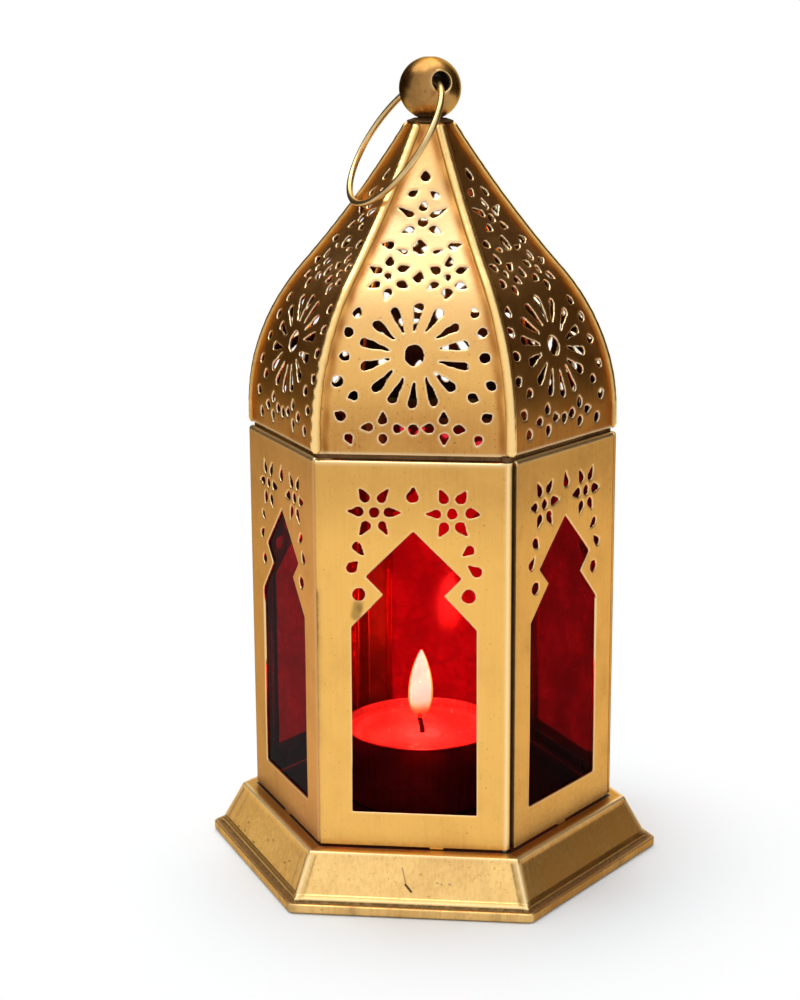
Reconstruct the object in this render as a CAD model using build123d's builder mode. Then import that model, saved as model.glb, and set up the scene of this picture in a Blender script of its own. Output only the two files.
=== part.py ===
from build123d import *
import math
import os

# Hexagonal candle lantern of pierced brass sheet: a pressed plinth, six glazed walls of which the
# front one is a hinged door, an onion dome of six pierced gores, a ball finial and a carry ring.
# Millimetres, +Z up, origin on the ground under the middle, the door facing -Y.

# Walls
sides = 6
wall_width = 43.0
wall_height = 88.4
wall_sheet = 0.6
seam_gap = 0.15
lap_flange = 4.5
bend_radius = 0.6
top_return = 4.0
foot_tab_width = 3.0
foot_tab_fold = 2.0
tab_clearance = 0.1
cut_overrun = 1.0

# Plinth
base_height = 12.3
base_sheet = 0.8
ledge_margin = 3.0
skirt_spread = 4.2
skirt_foot_height = 3.0
foot_flange = 2.4
rim_height = 2.4
hem_width = 3.0
wall_lift = 0.7

# Door hinge along the front right corner
pin_diameter = 1.2
pin_clearance = 0.05
pin_tail = 1.0
hinge_gap = 1.7
door_head_gap = 0.25
tongue_width = 3.0
tongue_gap = 0.2
tongue_offset_share = 0.23

# Glass panes and the rails that hold them
pane_thickness = 2.0
pane_margin = 1.2
pane_sill = 3.6
pane_head = 4.4
rail_sheet = 0.5
rail_foot = 2.0
rail_lip = 2.0
rail_length_share = 0.8

# Neck frame between walls and dome
neck_thickness = 1.0
neck_recess = 1.2
neck_band = 6.0
ear_wall = 0.65

# Dome
dome_height = 69.0
dome_sheet = 0.6
dome_inset = 0.7
dome_straight = 3.9
dome_mouth = 4.3
dome_return = 3.5
flank_tilt_share = 1.427
crown_turn_share = 0.342
shoulder_flats = 4
crown_flats = 2
gore_gap = 0.05
rib_width = 1.8
rib_height = 0.8

# Finial and carry ring
cap_overhang = 0.9
cap_thickness = 1.0
cap_bevel = 0.5
ball_diameter = 14.0
ball_facets = 18
ball_bands = 7
ball_crown_radius = 1.2
ball_seat_radius = 2.6
ball_hole_diameter = 4.5
ball_hole_rise = 1.5
ball_hole_turn = 30.0
stud_diameter = 3.0
stud_depth = 2.8
stud_tail = 1.0
stud_clearance = 0.05
nut_width = 5.5
nut_height = 2.4
ring_radius = 16.1
ring_wire = 1.5
ring_section_sides = 6
ring_flats = 36
ring_mouth_clearance = 0.3
ring_rest_clearance = 0.35
ring_lean_steps = (5.0, 0.25)

# Tealight
tealight_diameter = 38.0
tealight_height = 17.0
tealight_shift = 2.2
cup_sheet = 0.4
cup_draft = 0.6
cup_flutes = 36
wax_gap = 0.1
wax_drop = 1.6
wax_dish = 1.2
wax_pool = 26.0
wax_rim = 2.0
wick_diameter = 1.6
wick_height = 5.5
wick_clearance = 0.1
sustainer_radius = 6.0
sustainer_sheet = 0.4
sustainer_crimp = 4.0

# Window outline, from the apex down one side, in shares of half the wall's width and its height
window_shares = [(0, 0.822), (0.479, 0.706), (0.302, 0.66), (0.636, 0.575), (0.64, 0.092)]

# Outline of one drop, tip up, in shares of its width and length
drop_shares = [(0, 0.6), (-0.5, -0.4), (0.5, -0.4)]

# Wall piercings: places in the window's shares, and for the side drops the way their tips point in degrees
rosette_petals = 6
rosette_radius = 4.2
rosette_eye = 1.15
rosette_share = (0.399, 0.87)
petal_length = 3.5
petal_width = 2.1
crown_drop_share = (0, 0.916)
side_drop_shares = [(0.5535, 0.776, 125), (0.623, 0.729, -50)]
side_drop_length = 3.0
side_drop_width = 2.1
spot_radius = 1.35
spot_share = (0.5605, 0.66)

# Gore piercings: places in shares of half the gore's width and of its length along the curve, and for the
# pairs of drops the way their tips point in degrees
sun_share = (0, 0.277)
sun_eye = 2.2
sun_rays = 14
ray_inner = 5.4
ray_outer = 11.6
ray_width = 2.0
speck_radius = 1.15
edge_speck_shares = [(0.6, 0.39), (0.7, 0.29), (0.74, 0.17)]
gore_drop_length = 2.2
gore_drop_width = 1.7
lone_drop_shares = [(0, 0.836), (0, 0.608), (0, 0.508), (0, 0.068)]
pair_drop_shares = [(0.113, 0.777, 55), (0.344, 0.611, 70)]
top_star_share = (0, 0.688)
top_star_radius = 3.7
top_star_turns = [0, 64, 122, 238, 296]
star_share = (0.298, 0.508)
star_radius = 3.3
star_petals = 6
foot_star_share = (0.305, 0.078)
foot_star_radius = 2.5
foot_star_petals = 4

# What follows from the sizes above
half_turn = math.pi / sides
corner_stretch = 1 / math.cos(half_turn)
half_wall = wall_width / 2
wall_reach = half_wall / math.tan(half_turn)
wall_foot = base_height + wall_lift
wall_top = wall_foot + wall_height
neck_top = wall_top + neck_thickness
dome_reach = wall_reach - dome_inset
half_gore = dome_reach * math.tan(half_turn)
knuckle_radius = pin_diameter / 2 + pin_clearance + wall_sheet
hinge_x = half_wall - knuckle_radius - seam_gap
hinge_y = knuckle_radius - wall_reach
pane_half = half_wall - lap_flange - pane_margin - wall_sheet
pane_foot = wall_foot + pane_sill
pane_top = wall_top - pane_head
turns = {name: 360 / sides * i for i, name in enumerate(
    ["front", "right", "rear_right", "rear", "rear_left", "left"])}

os.makedirs("parts", exist_ok=True)


def outward(turn):
    """Level unit vector out of the lantern, turned anticlockwise from the front."""
    a = math.radians(turn)
    return (math.sin(a), -math.cos(a), 0)


def along(turn):
    """Level unit vector to the right of someone who faces that side."""
    a = math.radians(turn)
    return (math.cos(a), math.sin(a), 0)


def plan(turn, height):
    """Level plane at a height, its x axis along one side."""
    return Plane(origin=(0, 0, height), x_dir=along(turn), z_dir=(0, 0, 1))


def face(turn, reach):
    """Upright plane at a distance from the middle, facing outwards, its y axis up."""
    out = outward(turn)
    return Plane(origin=(reach * out[0], reach * out[1], 0), x_dir=along(turn), z_dir=out)


def section(turn):
    """Upright plane through the middle: x is the distance outwards, y the height."""
    across = along(turn)
    return Plane(origin=(0, 0, 0), x_dir=outward(turn), z_dir=(-across[0], -across[1], 0))


def drop(centre, length, width, turn):
    """Corners of one pierced drop, its tip turned anticlockwise from straight up."""
    a = math.radians(turn)
    corners = [(x * width, y * length) for x, y in drop_shares]
    return [
        (centre[0] + x * math.cos(a) - y * math.sin(a), centre[1] + x * math.sin(a) + y * math.cos(a))
        for x, y in corners
    ]


def spot(centre, radius, corners):
    """Corners of a small round piercing."""
    step = 2 * math.pi / corners
    return [
        (centre[0] + radius * math.sin(step * i), centre[1] + radius * math.cos(step * i)) for i in range(corners)
    ]


def rosette(centre, radius, length, width, petal_turns):
    """Drops round a centre, their tips outwards."""
    out = []
    for turn in petal_turns:
        x = centre[0] - radius * math.sin(math.radians(turn))
        y = centre[1] + radius * math.cos(math.radians(turn))
        out.append(drop((x, y), length, width, turn))
    return out


def even_turns(count, first):
    """Evenly spaced directions round a full turn."""
    return [first + 360 / count * i for i in range(count)]


def mirrored(shape):
    """The same outline on the other half of a symmetrical sheet."""
    return [(-x, y) for x, y in shape]


def wall_place(share):
    """A place on a wall, from the wall's middle line and the ground."""
    return share[0] * half_wall, wall_foot + share[1] * wall_height


def wall_piercings():
    """Outlines of the window, the two rosettes and the drops of a wall, on its upright plane."""
    half = [wall_place(share) for share in window_shares]
    window = half + mirrored(half[:0:-1])
    eye = wall_place(rosette_share)
    flower = rosette(eye, rosette_radius, petal_length, petal_width, even_turns(rosette_petals, 30))
    flower.append(spot(eye, rosette_eye, 6))
    for x, y, turn in side_drop_shares:
        flower.append(drop(wall_place((x, y)), side_drop_length, side_drop_width, turn))
    flower.append(spot(wall_place(spot_share), spot_radius, 6))
    crown = drop(wall_place(crown_drop_share), petal_length, petal_width, 0)
    return [window, crown] + flower + [mirrored(shape) for shape in flower]


def pierce(plane, outlines, depth):
    """Cut outlines through the sheet that lies on a plane."""
    with BuildSketch(plane) as holes:
        for outline in outlines:
            with BuildLine():
                Polyline(*outline, close=True)
            make_face()
    extrude(holes.sketch, amount=-depth, mode=Mode.SUBTRACT)


def write(part, name):
    """Label a finished piece and write it under its name."""
    part.label = name
    export_step(part, f"parts/{name}.step")


# Plinth: a pressed pan, upside down, with a flat floor, a sloping skirt, a foot flange and a turned-in hem
ledge_reach = wall_reach + ledge_margin
skirt_reach = ledge_reach + skirt_spread
rim_reach = skirt_reach + foot_flange
skirt_rise = base_height - skirt_foot_height
skirt_slope = skirt_spread / skirt_rise
skirt_inset = base_sheet * math.hypot(1, skirt_slope)


def hexagon(reach, mode=Mode.ADD):
    """Six-sided outline at a distance from the middle to its flats."""
    return RegularPolygon(radius=reach, side_count=sides, major_radius=False, mode=mode)


def frustum(low_reach, low, high_reach, high, mode=Mode.ADD, count=sides, centre=(0, 0)):
    """Upright body of flat sides between two heights, each reach measured from the middle to the flats.

    It tapers upwards from its wider end, and is turned over where that end is the upper one.
    """
    draft = math.degrees(math.atan2(abs(low_reach - high_reach), high - low))
    with BuildPart() as body:
        with BuildSketch(Plane.XY.offset(low)):
            with Locations(centre):
                RegularPolygon(radius=max(low_reach, high_reach), side_count=count, major_radius=False)
        extrude(amount=high - low, taper=draft)
        if high_reach > low_reach:
            mirror(about=Plane.XY.offset((low + high) / 2), mode=Mode.REPLACE)
    add(body.part, mode=mode)


with BuildPart() as base_plinth:
    frustum(rim_reach, 0, rim_reach, rim_height)
    frustum(rim_reach, rim_height, skirt_reach, skirt_foot_height)
    frustum(skirt_reach, skirt_foot_height, ledge_reach, base_height)
    hollow_low = rim_height - base_sheet
    hollow_top = base_height - base_sheet
    hollow_low_reach = ledge_reach + skirt_slope * (base_height - hollow_low) - skirt_inset
    hollow_top_reach = ledge_reach + skirt_slope * base_sheet - skirt_inset
    frustum(hollow_low_reach, hollow_low, hollow_top_reach, hollow_top, Mode.SUBTRACT)
    rim_hollow_reach = rim_reach - base_sheet
    frustum(rim_hollow_reach, base_sheet, rim_hollow_reach, hollow_low, Mode.SUBTRACT)
    frustum(rim_reach - hem_width, -cut_overrun, rim_reach - hem_width, base_sheet, Mode.SUBTRACT)
    for name, turn in turns.items():
        if name != "front":
            with BuildSketch(plan(turn, base_height)):
                with Locations((0, wall_sheet / 2 - wall_reach)):
                    Rectangle(foot_tab_width + 2 * tab_clearance, wall_sheet + 2 * tab_clearance)
            extrude(amount=-base_sheet, mode=Mode.SUBTRACT)
    with BuildSketch(Plane.XY.offset(base_height)):
        with Locations((hinge_x, hinge_y)):
            Circle(pin_diameter / 2 + pin_clearance)
    extrude(amount=-base_sheet, mode=Mode.SUBTRACT)
write(base_plinth.part, "base_plinth")

# Fixed walls: a pierced face, a flange lapped behind the next wall, a top return and a folded foot tab
lap_turn = 2 * half_turn
lap_inset = wall_sheet + seam_gap
fold_x = half_wall - (lap_inset + wall_sheet / 2 * (1 - math.cos(lap_turn))) / math.sin(lap_turn)
mid_y = wall_sheet / 2 - wall_reach
tab_foot = base_height - base_sheet - tab_clearance - wall_sheet

for name, turn in turns.items():
    if name == "front":
        continue
    start_x = (hinge_gap if name == "right" else seam_gap) - half_wall
    with BuildPart() as wall:
        with BuildSketch(plan(turn, wall_foot)):
            with BuildLine() as fold:
                FilletPolyline(
                    (start_x, mid_y),
                    (fold_x, mid_y),
                    (fold_x + lap_flange * math.cos(lap_turn), mid_y + lap_flange * math.sin(lap_turn)),
                    radius=bend_radius + wall_sheet / 2,
                )
            trace(fold.line, line_width=wall_sheet)
        extrude(amount=wall_height)
        with BuildSketch(plan(turn, wall_top)):
            with Locations((0, -wall_reach)):
                Rectangle(2 * pane_half, top_return, align=(Align.CENTER, Align.MIN))
        extrude(amount=-wall_sheet)
        with BuildSketch(section(turn)):
            with BuildLine():
                Polyline(
                    (wall_reach, wall_foot),
                    (wall_reach, tab_foot),
                    (wall_reach - foot_tab_fold, tab_foot),
                    (wall_reach - foot_tab_fold, tab_foot + wall_sheet),
                    (wall_reach - wall_sheet, tab_foot + wall_sheet),
                    (wall_reach - wall_sheet, wall_foot),
                    close=True,
                )
            make_face()
        extrude(amount=foot_tab_width / 2, both=True)
        pierce(face(turn, wall_reach), wall_piercings(), wall_sheet)
    write(wall.part, f"wall_{name}")

# Door: a pierced face whose right edge is rolled round the hinge pin, with a tongue that drags on the ledge
door_top = wall_top - door_head_gap
with BuildPart() as door_panel:
    with BuildSketch(plan(0, wall_foot)):
        with Locations((seam_gap - half_wall, -wall_reach)):
            Rectangle(hinge_x + half_wall - seam_gap, wall_sheet, align=(Align.MIN, Align.MIN))
        with Locations((hinge_x, hinge_y)):
            Circle(knuckle_radius)
            Circle(pin_diameter / 2 + pin_clearance, mode=Mode.SUBTRACT)
    extrude(amount=door_top - wall_foot)
    with BuildSketch(face(0, wall_reach)):
        with Locations((tongue_offset_share * half_wall, wall_foot)):
            Rectangle(tongue_width, wall_lift - tongue_gap, align=(Align.CENTER, Align.MAX))
    extrude(amount=-wall_sheet)
    pierce(face(0, wall_reach), wall_piercings(), wall_sheet)
write(door_panel.part, "door_panel")

with BuildPart() as hinge_pin:
    with BuildSketch(Plane.XY.offset(base_height - base_sheet - pin_tail)):
        with Locations((hinge_x, hinge_y)):
            Circle(pin_diameter / 2)
    extrude(amount=neck_top - base_height + base_sheet + pin_tail)
write(hinge_pin.part, "hinge_pin")

# Ruby panes against the inside of every wall, each between a lower and an upper rail
pane_face = wall_reach - wall_sheet
pane_back = pane_face - pane_thickness
rail_back = pane_back - rail_sheet


def rail_outline(seat, up):
    """Section of a rail whose step touches the pane's edge and whose lip laps the pane's back."""
    return [
        (pane_face, seat - up * rail_foot),
        (pane_face, seat),
        (pane_back, seat),
        (pane_back, seat + up * rail_lip),
        (rail_back, seat + up * rail_lip),
        (rail_back, seat - up * rail_sheet),
        (pane_face - rail_sheet, seat - up * rail_sheet),
        (pane_face - rail_sheet, seat - up * rail_foot),
    ]


for name, turn in turns.items():
    with BuildPart() as pane:
        with BuildSketch(face(turn, pane_face)):
            with Locations((0, pane_foot)):
                Rectangle(2 * pane_half, pane_top - pane_foot, align=(Align.CENTER, Align.MIN))
        extrude(amount=-pane_thickness)
    write(pane.part, "door_pane" if name == "front" else f"pane_{name}")
    with BuildPart() as rails:
        for seat, up in [(pane_foot, 1), (pane_top, -1)]:
            with BuildSketch(section(turn)):
                with BuildLine():
                    Polyline(*rail_outline(seat, up), close=True)
                make_face()
            extrude(amount=rail_length_share * pane_half, both=True)
    write(rails.part, "door_pane_rails" if name == "front" else f"pane_rails_{name}")

# Neck frame: a flat hexagonal ring on the wall returns, with an ear for the top of the hinge pin
neck_reach = wall_reach - neck_recess
with BuildPart() as neck_frame:
    with BuildSketch(Plane.XY.offset(wall_top)):
        hexagon(neck_reach)
        with Locations((hinge_x, hinge_y)):
            Circle(pin_diameter / 2 + pin_clearance + ear_wall)
        hexagon(neck_reach - neck_band, Mode.SUBTRACT)
        with Locations((hinge_x, hinge_y)):
            Circle(pin_diameter / 2 + pin_clearance, mode=Mode.SUBTRACT)
    extrude(amount=neck_thickness)
write(neck_frame.part, "neck_frame")

# Dome curve: an upright stretch, a shoulder bent inwards and a long crown that bends back a little.
# The two radii follow from the dome's height and from how far it draws in.
draw_in = dome_reach - dome_mouth
climb = dome_height - dome_straight
lean = math.atan2(draw_in, climb)
flank_tilt = flank_tilt_share * lean
top_tilt = flank_tilt - crown_turn_share * lean
shoulder_in = 1 - math.cos(flank_tilt)
shoulder_up = math.sin(flank_tilt)
crown_in = math.cos(top_tilt) - math.cos(flank_tilt)
crown_up = math.sin(flank_tilt) - math.sin(top_tilt)
curve_scale = shoulder_in * crown_up - shoulder_up * crown_in
shoulder_radius = (draw_in * crown_up - climb * crown_in) / curve_scale
crown_radius = (climb * shoulder_in - draw_in * shoulder_up) / curve_scale
shoulder_length = shoulder_radius * flank_tilt
crown_length = crown_radius * (flank_tilt - top_tilt)
gore_length = dome_straight + shoulder_length + crown_length
spring = neck_top + dome_straight


def curve_point(tilt, on_crown, inset):
    """Distance out and height of the dome's curve where it leans by a tilt, set in by the sheet."""
    if on_crown:
        r = shoulder_radius + crown_radius
        out = dome_reach - shoulder_radius + r * math.cos(flank_tilt) - (crown_radius + inset) * math.cos(tilt)
        return out, spring + r * math.sin(flank_tilt) - (crown_radius + inset) * math.sin(tilt)
    out = dome_reach - shoulder_radius + (shoulder_radius - inset) * math.cos(tilt)
    return out, spring + (shoulder_radius - inset) * math.sin(tilt)


def curve_tilts():
    """The tilts at the ends of the short flats that follow the curve, and whether each is on the crown."""
    shoulder = [(flank_tilt * i / shoulder_flats, False) for i in range(shoulder_flats + 1)]
    step = (flank_tilt - top_tilt) / crown_flats
    return shoulder + [(flank_tilt - step * (i + 1), True) for i in range(crown_flats)]


def curve_height(length):
    """Height of the dome's curve at a length along it."""
    if length < dome_straight:
        return neck_top + length
    if length < dome_straight + shoulder_length:
        return curve_point((length - dome_straight) / shoulder_radius, False, 0)[1]
    return curve_point(flank_tilt - (length - dome_straight - shoulder_length) / crown_radius, True, 0)[1]


def dome_line(inset):
    """The dome's curve from the neck to the mouth, set in by the sheet."""
    return [(dome_reach - inset, neck_top)] + [curve_point(tilt, crown, inset) for tilt, crown in curve_tilts()]


def wedge(turn, gap):
    """Keep only what lies between the two corner planes of one side."""
    tip = gap / math.sin(half_turn)
    span = 2 * dome_reach
    with BuildSketch(plan(turn, neck_top)) as slice_of_pie:
        with BuildLine():
            Polyline(
                (0, -tip),
                (span * math.tan(half_turn), -tip - span),
                (-span * math.tan(half_turn), -tip - span),
                close=True,
            )
        make_face()
    extrude(slice_of_pie.sketch, amount=dome_height, mode=Mode.INTERSECT)


def gore_place(share):
    """A place on a flattened gore, from its middle line and its foot."""
    return share[0] * half_gore, share[1] * gore_length


def sun_ray(sun, turn):
    """Corners of one ray of the sunburst, widest at its outer end, turned anticlockwise from straight down."""
    a = math.radians(turn)
    corners = [(ray_inner, 0), (ray_outer, -ray_width / 2), (ray_outer, ray_width / 2)]
    return [
        (sun[0] + r * math.sin(a) + w * math.cos(a), sun[1] - r * math.cos(a) + w * math.sin(a)) for r, w in corners
    ]


def gore_piercings():
    """Outlines of a gore's sunburst, stars, drops and specks, laid out along the curve, then seen from outside."""
    sun = gore_place(sun_share)
    top = gore_place(top_star_share)
    outlines = [spot(sun, sun_eye, 6), spot(top, speck_radius, 4)]
    outlines += [sun_ray(sun, turn) for turn in even_turns(sun_rays, 0)]
    outlines += [drop(gore_place(share), gore_drop_length, gore_drop_width, 0) for share in lone_drop_shares]
    outlines += rosette(top, top_star_radius, gore_drop_length, gore_drop_width, top_star_turns)
    half = [spot(gore_place(share), speck_radius, 3) for share in edge_speck_shares]
    for x, y, turn in pair_drop_shares:
        half.append(drop(gore_place((x, y)), gore_drop_length, gore_drop_width, turn))
    for share, radius, petals in [
        (star_share, star_radius, star_petals),
        (foot_star_share, foot_star_radius, foot_star_petals),
    ]:
        half += rosette(gore_place(share), radius, gore_drop_length, gore_drop_width, even_turns(petals, 0))
    outlines += half + [mirrored(shape) for shape in half]
    return [[(x, curve_height(y)) for x, y in outline] for outline in outlines]


for name, turn in turns.items():
    with BuildPart() as gore:
        with BuildSketch(section(turn)):
            with BuildLine():
                inner = dome_line(dome_sheet)
                Polyline(
                    *dome_line(0),
                    *reversed(inner[1:]),
                    (dome_reach - dome_sheet, neck_top + dome_sheet),
                    (dome_reach - dome_return, neck_top + dome_sheet),
                    (dome_reach - dome_return, neck_top),
                    close=True,
                )
            make_face()
        extrude(amount=half_gore, both=True)
        wedge(turn, gore_gap)
        pierce(face(turn, dome_reach), gore_piercings(), dome_reach)
    write(gore.part, f"dome_gore_{name}")

# Ribs over the six seams of the dome, each seated in the angle between two gores


def rib_line(lift):
    """The dome's corner curve in its own upright plane, raised square to the curve."""
    line = []
    for (out, height), tilt in zip(dome_line(0), [0] + [tilt for tilt, crown in curve_tilts()]):
        corner_tilt = math.atan(math.tan(tilt) * corner_stretch)
        line.append((out * corner_stretch + lift * math.cos(corner_tilt), height + lift * math.sin(corner_tilt)))
    return line


def gore_core(turn):
    """Everything inside one gore's outer face, between its two corner planes."""
    with BuildPart() as core:
        with BuildSketch(section(turn)):
            with BuildLine():
                line = dome_line(0)
                Polyline(*line, (0, line[-1][1]), (0, neck_top), close=True)
            make_face()
        extrude(amount=half_gore, both=True)
        wedge(turn, 0)
    return core.part


cores = {turn: gore_core(turn) for turn in turns.values()}
rib_names = ["front_right", "right", "rear_right", "rear_left", "left", "front_left"]
rib_sink = rib_width / 2 * math.tan(half_turn) * corner_stretch
crown_top = dome_line(0)[-1][1]
for name, turn in zip(rib_names, turns.values()):
    with BuildPart() as rib:
        with BuildSketch(section(turn + 180 / sides)):
            with BuildLine():
                Polyline(*rib_line(rib_height), *reversed(rib_line(-rib_sink)), close=True)
            make_face()
        extrude(amount=rib_width / 2, both=True)
        add(cores[turn], mode=Mode.SUBTRACT)
        add(cores[(turn + 360 / sides) % 360], mode=Mode.SUBTRACT)
        split(bisect_by=Plane.XY.offset(crown_top), keep=Keep.BOTTOM)
    write(rib.part, f"dome_rib_{name}")

# Cap on the dome's mouth, and the ball that a stud and nut draw down on it
cap_reach = dome_mouth + cap_overhang
cap_top = crown_top + cap_thickness
ball_radius = ball_diameter / 2
ball_centre = cap_top + math.sqrt(ball_radius**2 - ball_seat_radius**2)
hole_height = ball_centre + ball_hole_rise
stud_bore = stud_diameter / 2 + stud_clearance

with BuildPart() as dome_cap:
    frustum(cap_reach, crown_top, cap_reach - cap_bevel, cap_top)
    with BuildSketch(Plane.XY.offset(crown_top)):
        Circle(stud_bore)
    extrude(amount=cap_thickness, mode=Mode.SUBTRACT)
write(dome_cap.part, "dome_cap")

with BuildPart() as finial_ball:
    seat_angle = math.asin(ball_seat_radius / ball_radius)
    crown_angle = math.pi - math.asin(ball_crown_radius / ball_radius)
    for i in range(ball_bands):
        low_angle = seat_angle + (crown_angle - seat_angle) * i / ball_bands
        high_angle = seat_angle + (crown_angle - seat_angle) * (i + 1) / ball_bands
        frustum(
            ball_radius * math.sin(low_angle),
            ball_centre - ball_radius * math.cos(low_angle),
            ball_radius * math.sin(high_angle),
            ball_centre - ball_radius * math.cos(high_angle),
            count=ball_facets,
        )
    with BuildSketch(face(ball_hole_turn, 0)):
        with Locations((0, hole_height)):
            Circle(ball_hole_diameter / 2)
    extrude(amount=ball_diameter, both=True, mode=Mode.SUBTRACT)
    with BuildSketch(Plane.XY.offset(cap_top)):
        Circle(stud_bore)
    extrude(amount=stud_depth, mode=Mode.SUBTRACT)
write(finial_ball.part, "finial_ball")

with BuildPart() as finial_nut:
    with BuildSketch(Plane.XY.offset(crown_top)):
        hexagon(nut_width / 2)
        Circle(stud_bore, mode=Mode.SUBTRACT)
    extrude(amount=-nut_height)
write(finial_nut.part, "finial_nut")

with BuildPart() as finial_stud:
    with BuildSketch(Plane.XY.offset(crown_top - nut_height - stud_tail)):
        Circle(stud_diameter / 2)
    extrude(amount=stud_tail + nut_height + cap_thickness + stud_depth - stud_clearance)
write(finial_stud.part, "finial_stud")

# Carry ring through the ball, leaning to the left until its wire meets the ribs of the left gore
hole_radius = ball_hole_diameter / 2
wire_radius = ring_wire / 2
hole_axis = Vector(*outward(ball_hole_turn))
sideways = Vector(*along(ball_hole_turn)) * -1


def ring_hang(angle):
    """Unit vector and distance from the ball's hole to the ring's centre when it leans from straight down."""
    sunk = ball_hole_rise**2 + hole_radius**2 - 2 * ball_hole_rise * hole_radius * math.cos(angle)
    mouth_half = math.sqrt(ball_radius**2 - sunk)
    mouth_drop = hole_radius - wire_radius - ring_mouth_clearance
    way = sideways * math.sin(angle) - Vector(0, 0, 1) * math.cos(angle)
    return way, math.sqrt(ring_radius**2 - mouth_half**2) + mouth_drop


def crest_edges():
    """Both top edges of the rib beside the ring, as straight stretches."""
    corner = ball_hole_turn - 90 + 180 / sides
    out, across = Vector(*outward(corner)), Vector(*along(corner)) * (rib_width / 2)
    for side in (1, -1):
        line = [out * reach + across * side + Vector(0, 0, height) for reach, height in rib_line(rib_height)]
        yield from zip(line, line[1:])


def rib_room(angle):
    """Least distance from the lower half of the ring's centreline to the rib's top edges."""
    way, distance = ring_hang(angle)
    centre = Vector(0, 0, hole_height) + way * distance
    room = math.inf
    for degree in range(-90, 91, 3):
        a = math.radians(degree)
        point = centre + (way * math.cos(a) + hole_axis * math.sin(a)) * ring_radius
        for start, end in crest_edges():
            stretch = end - start
            share = min(max((point - start).dot(stretch) / stretch.dot(stretch), 0), 1)
            room = min(room, (start + stretch * share - point).length)
    return room


ring_lean = math.pi / 2
for step in ring_lean_steps:
    while rib_room(ring_lean - math.radians(step)) > wire_radius + ring_rest_clearance:
        ring_lean -= math.radians(step)
hang, ring_drop = ring_hang(ring_lean)
ring_centre = Vector(0, 0, hole_height) + hang * ring_drop
print("ring lean", math.degrees(ring_lean), "hole height", hole_height, "ring centre", tuple(ring_centre))
with BuildPart() as carry_ring:
    with BuildLine(Plane(origin=ring_centre, x_dir=hang, z_dir=hang.cross(hole_axis))):
        half_flat = math.pi / ring_flats
        bends = [half_flat * (2 * i + 1) for i in range(ring_flats)]
        bend_radius_out = ring_radius / math.cos(half_flat)
        start = (ring_radius, 0)
        Polyline(start, *[(bend_radius_out * math.cos(a), bend_radius_out * math.sin(a)) for a in bends], start)
    with BuildSketch(Plane(origin=ring_centre + hang * ring_radius, x_dir=hang, z_dir=hole_axis)):
        RegularPolygon(radius=wire_radius, side_count=ring_section_sides)
    sweep(transition=Transition.RIGHT)
write(carry_ring.part, "carry_ring")

# Tealight on the plinth's floor: cup, wax, wick and the foot that keeps the wick upright
cup_radius = tealight_diameter / 2
cup_top = base_height + tealight_height
cup_foot_radius = cup_radius - cup_draft
cup_floor = base_height + cup_sheet
wax_top = cup_top - wax_drop
wick_radius = wick_diameter / 2
crimp_radius = (wick_radius + wick_clearance + sustainer_sheet) * math.sqrt(2)


def wall_radius(height):
    """Inside radius of the drafted cup at a height."""
    return cup_foot_radius - cup_sheet + cup_draft * (height - base_height) / tealight_height


def flute(low_radius, low, high_radius, high, mode=Mode.ADD):
    """Many-sided body round the tealight's own axis."""
    frustum(low_radius, low, high_radius, high, mode, cup_flutes, (-tealight_shift, 0))


with BuildPart() as tealight_cup:
    flute(cup_foot_radius, base_height, cup_radius, cup_top)
    flute(wall_radius(cup_floor), cup_floor, wall_radius(cup_top), cup_top, Mode.SUBTRACT)
write(tealight_cup.part, "tealight_cup")

wax_foot = cup_floor + sustainer_sheet + wax_gap
wax_core = wick_radius + wick_clearance
crimp_top = cup_floor + sustainer_sheet + sustainer_crimp
with BuildPart() as tealight_wax:
    flute(wall_radius(wax_foot) - wax_gap, wax_foot, wall_radius(wax_top) - wax_gap, wax_top)
    flute(wax_pool / 2, wax_top - wax_dish, wall_radius(wax_top) - wax_rim, wax_top, Mode.SUBTRACT)
    with BuildSketch(Plane.XY.offset(wax_foot)):
        with Locations((-tealight_shift, 0)):
            RegularPolygon(radius=wax_core, side_count=sides, major_radius=False)
    extrude(amount=wax_top - wax_foot, mode=Mode.SUBTRACT)
    with BuildSketch(Plane.XY.offset(wax_foot)):
        with Locations((-tealight_shift, 0)):
            RegularPolygon(radius=crimp_radius + wick_clearance, side_count=4)
    extrude(amount=crimp_top + wick_clearance - wax_foot, mode=Mode.SUBTRACT)
write(tealight_wax.part, "tealight_wax")

with BuildPart() as wick_sustainer:
    with BuildSketch(Plane.XY.offset(cup_floor)):
        with Locations((-tealight_shift, 0)):
            RegularPolygon(radius=sustainer_radius, side_count=cup_flutes)
    extrude(amount=sustainer_sheet)
    with BuildSketch(Plane.XY.offset(cup_floor + sustainer_sheet)):
        with Locations((-tealight_shift, 0)):
            RegularPolygon(radius=crimp_radius, side_count=4)
            RegularPolygon(radius=wax_core, side_count=4, major_radius=False, mode=Mode.SUBTRACT)
    extrude(amount=sustainer_crimp)
write(wick_sustainer.part, "wick_sustainer")

with BuildPart() as wick:
    with BuildSketch(Plane.XY.offset(cup_floor + sustainer_sheet)):
        with Locations((-tealight_shift, 0)):
            Circle(wick_radius)
    extrude(amount=wax_top - wax_dish + wick_height - cup_floor - sustainer_sheet)
write(wick.part, "wick")
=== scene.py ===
import math

import bpy
import numpy as np
from mathutils import Matrix, Vector


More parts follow.
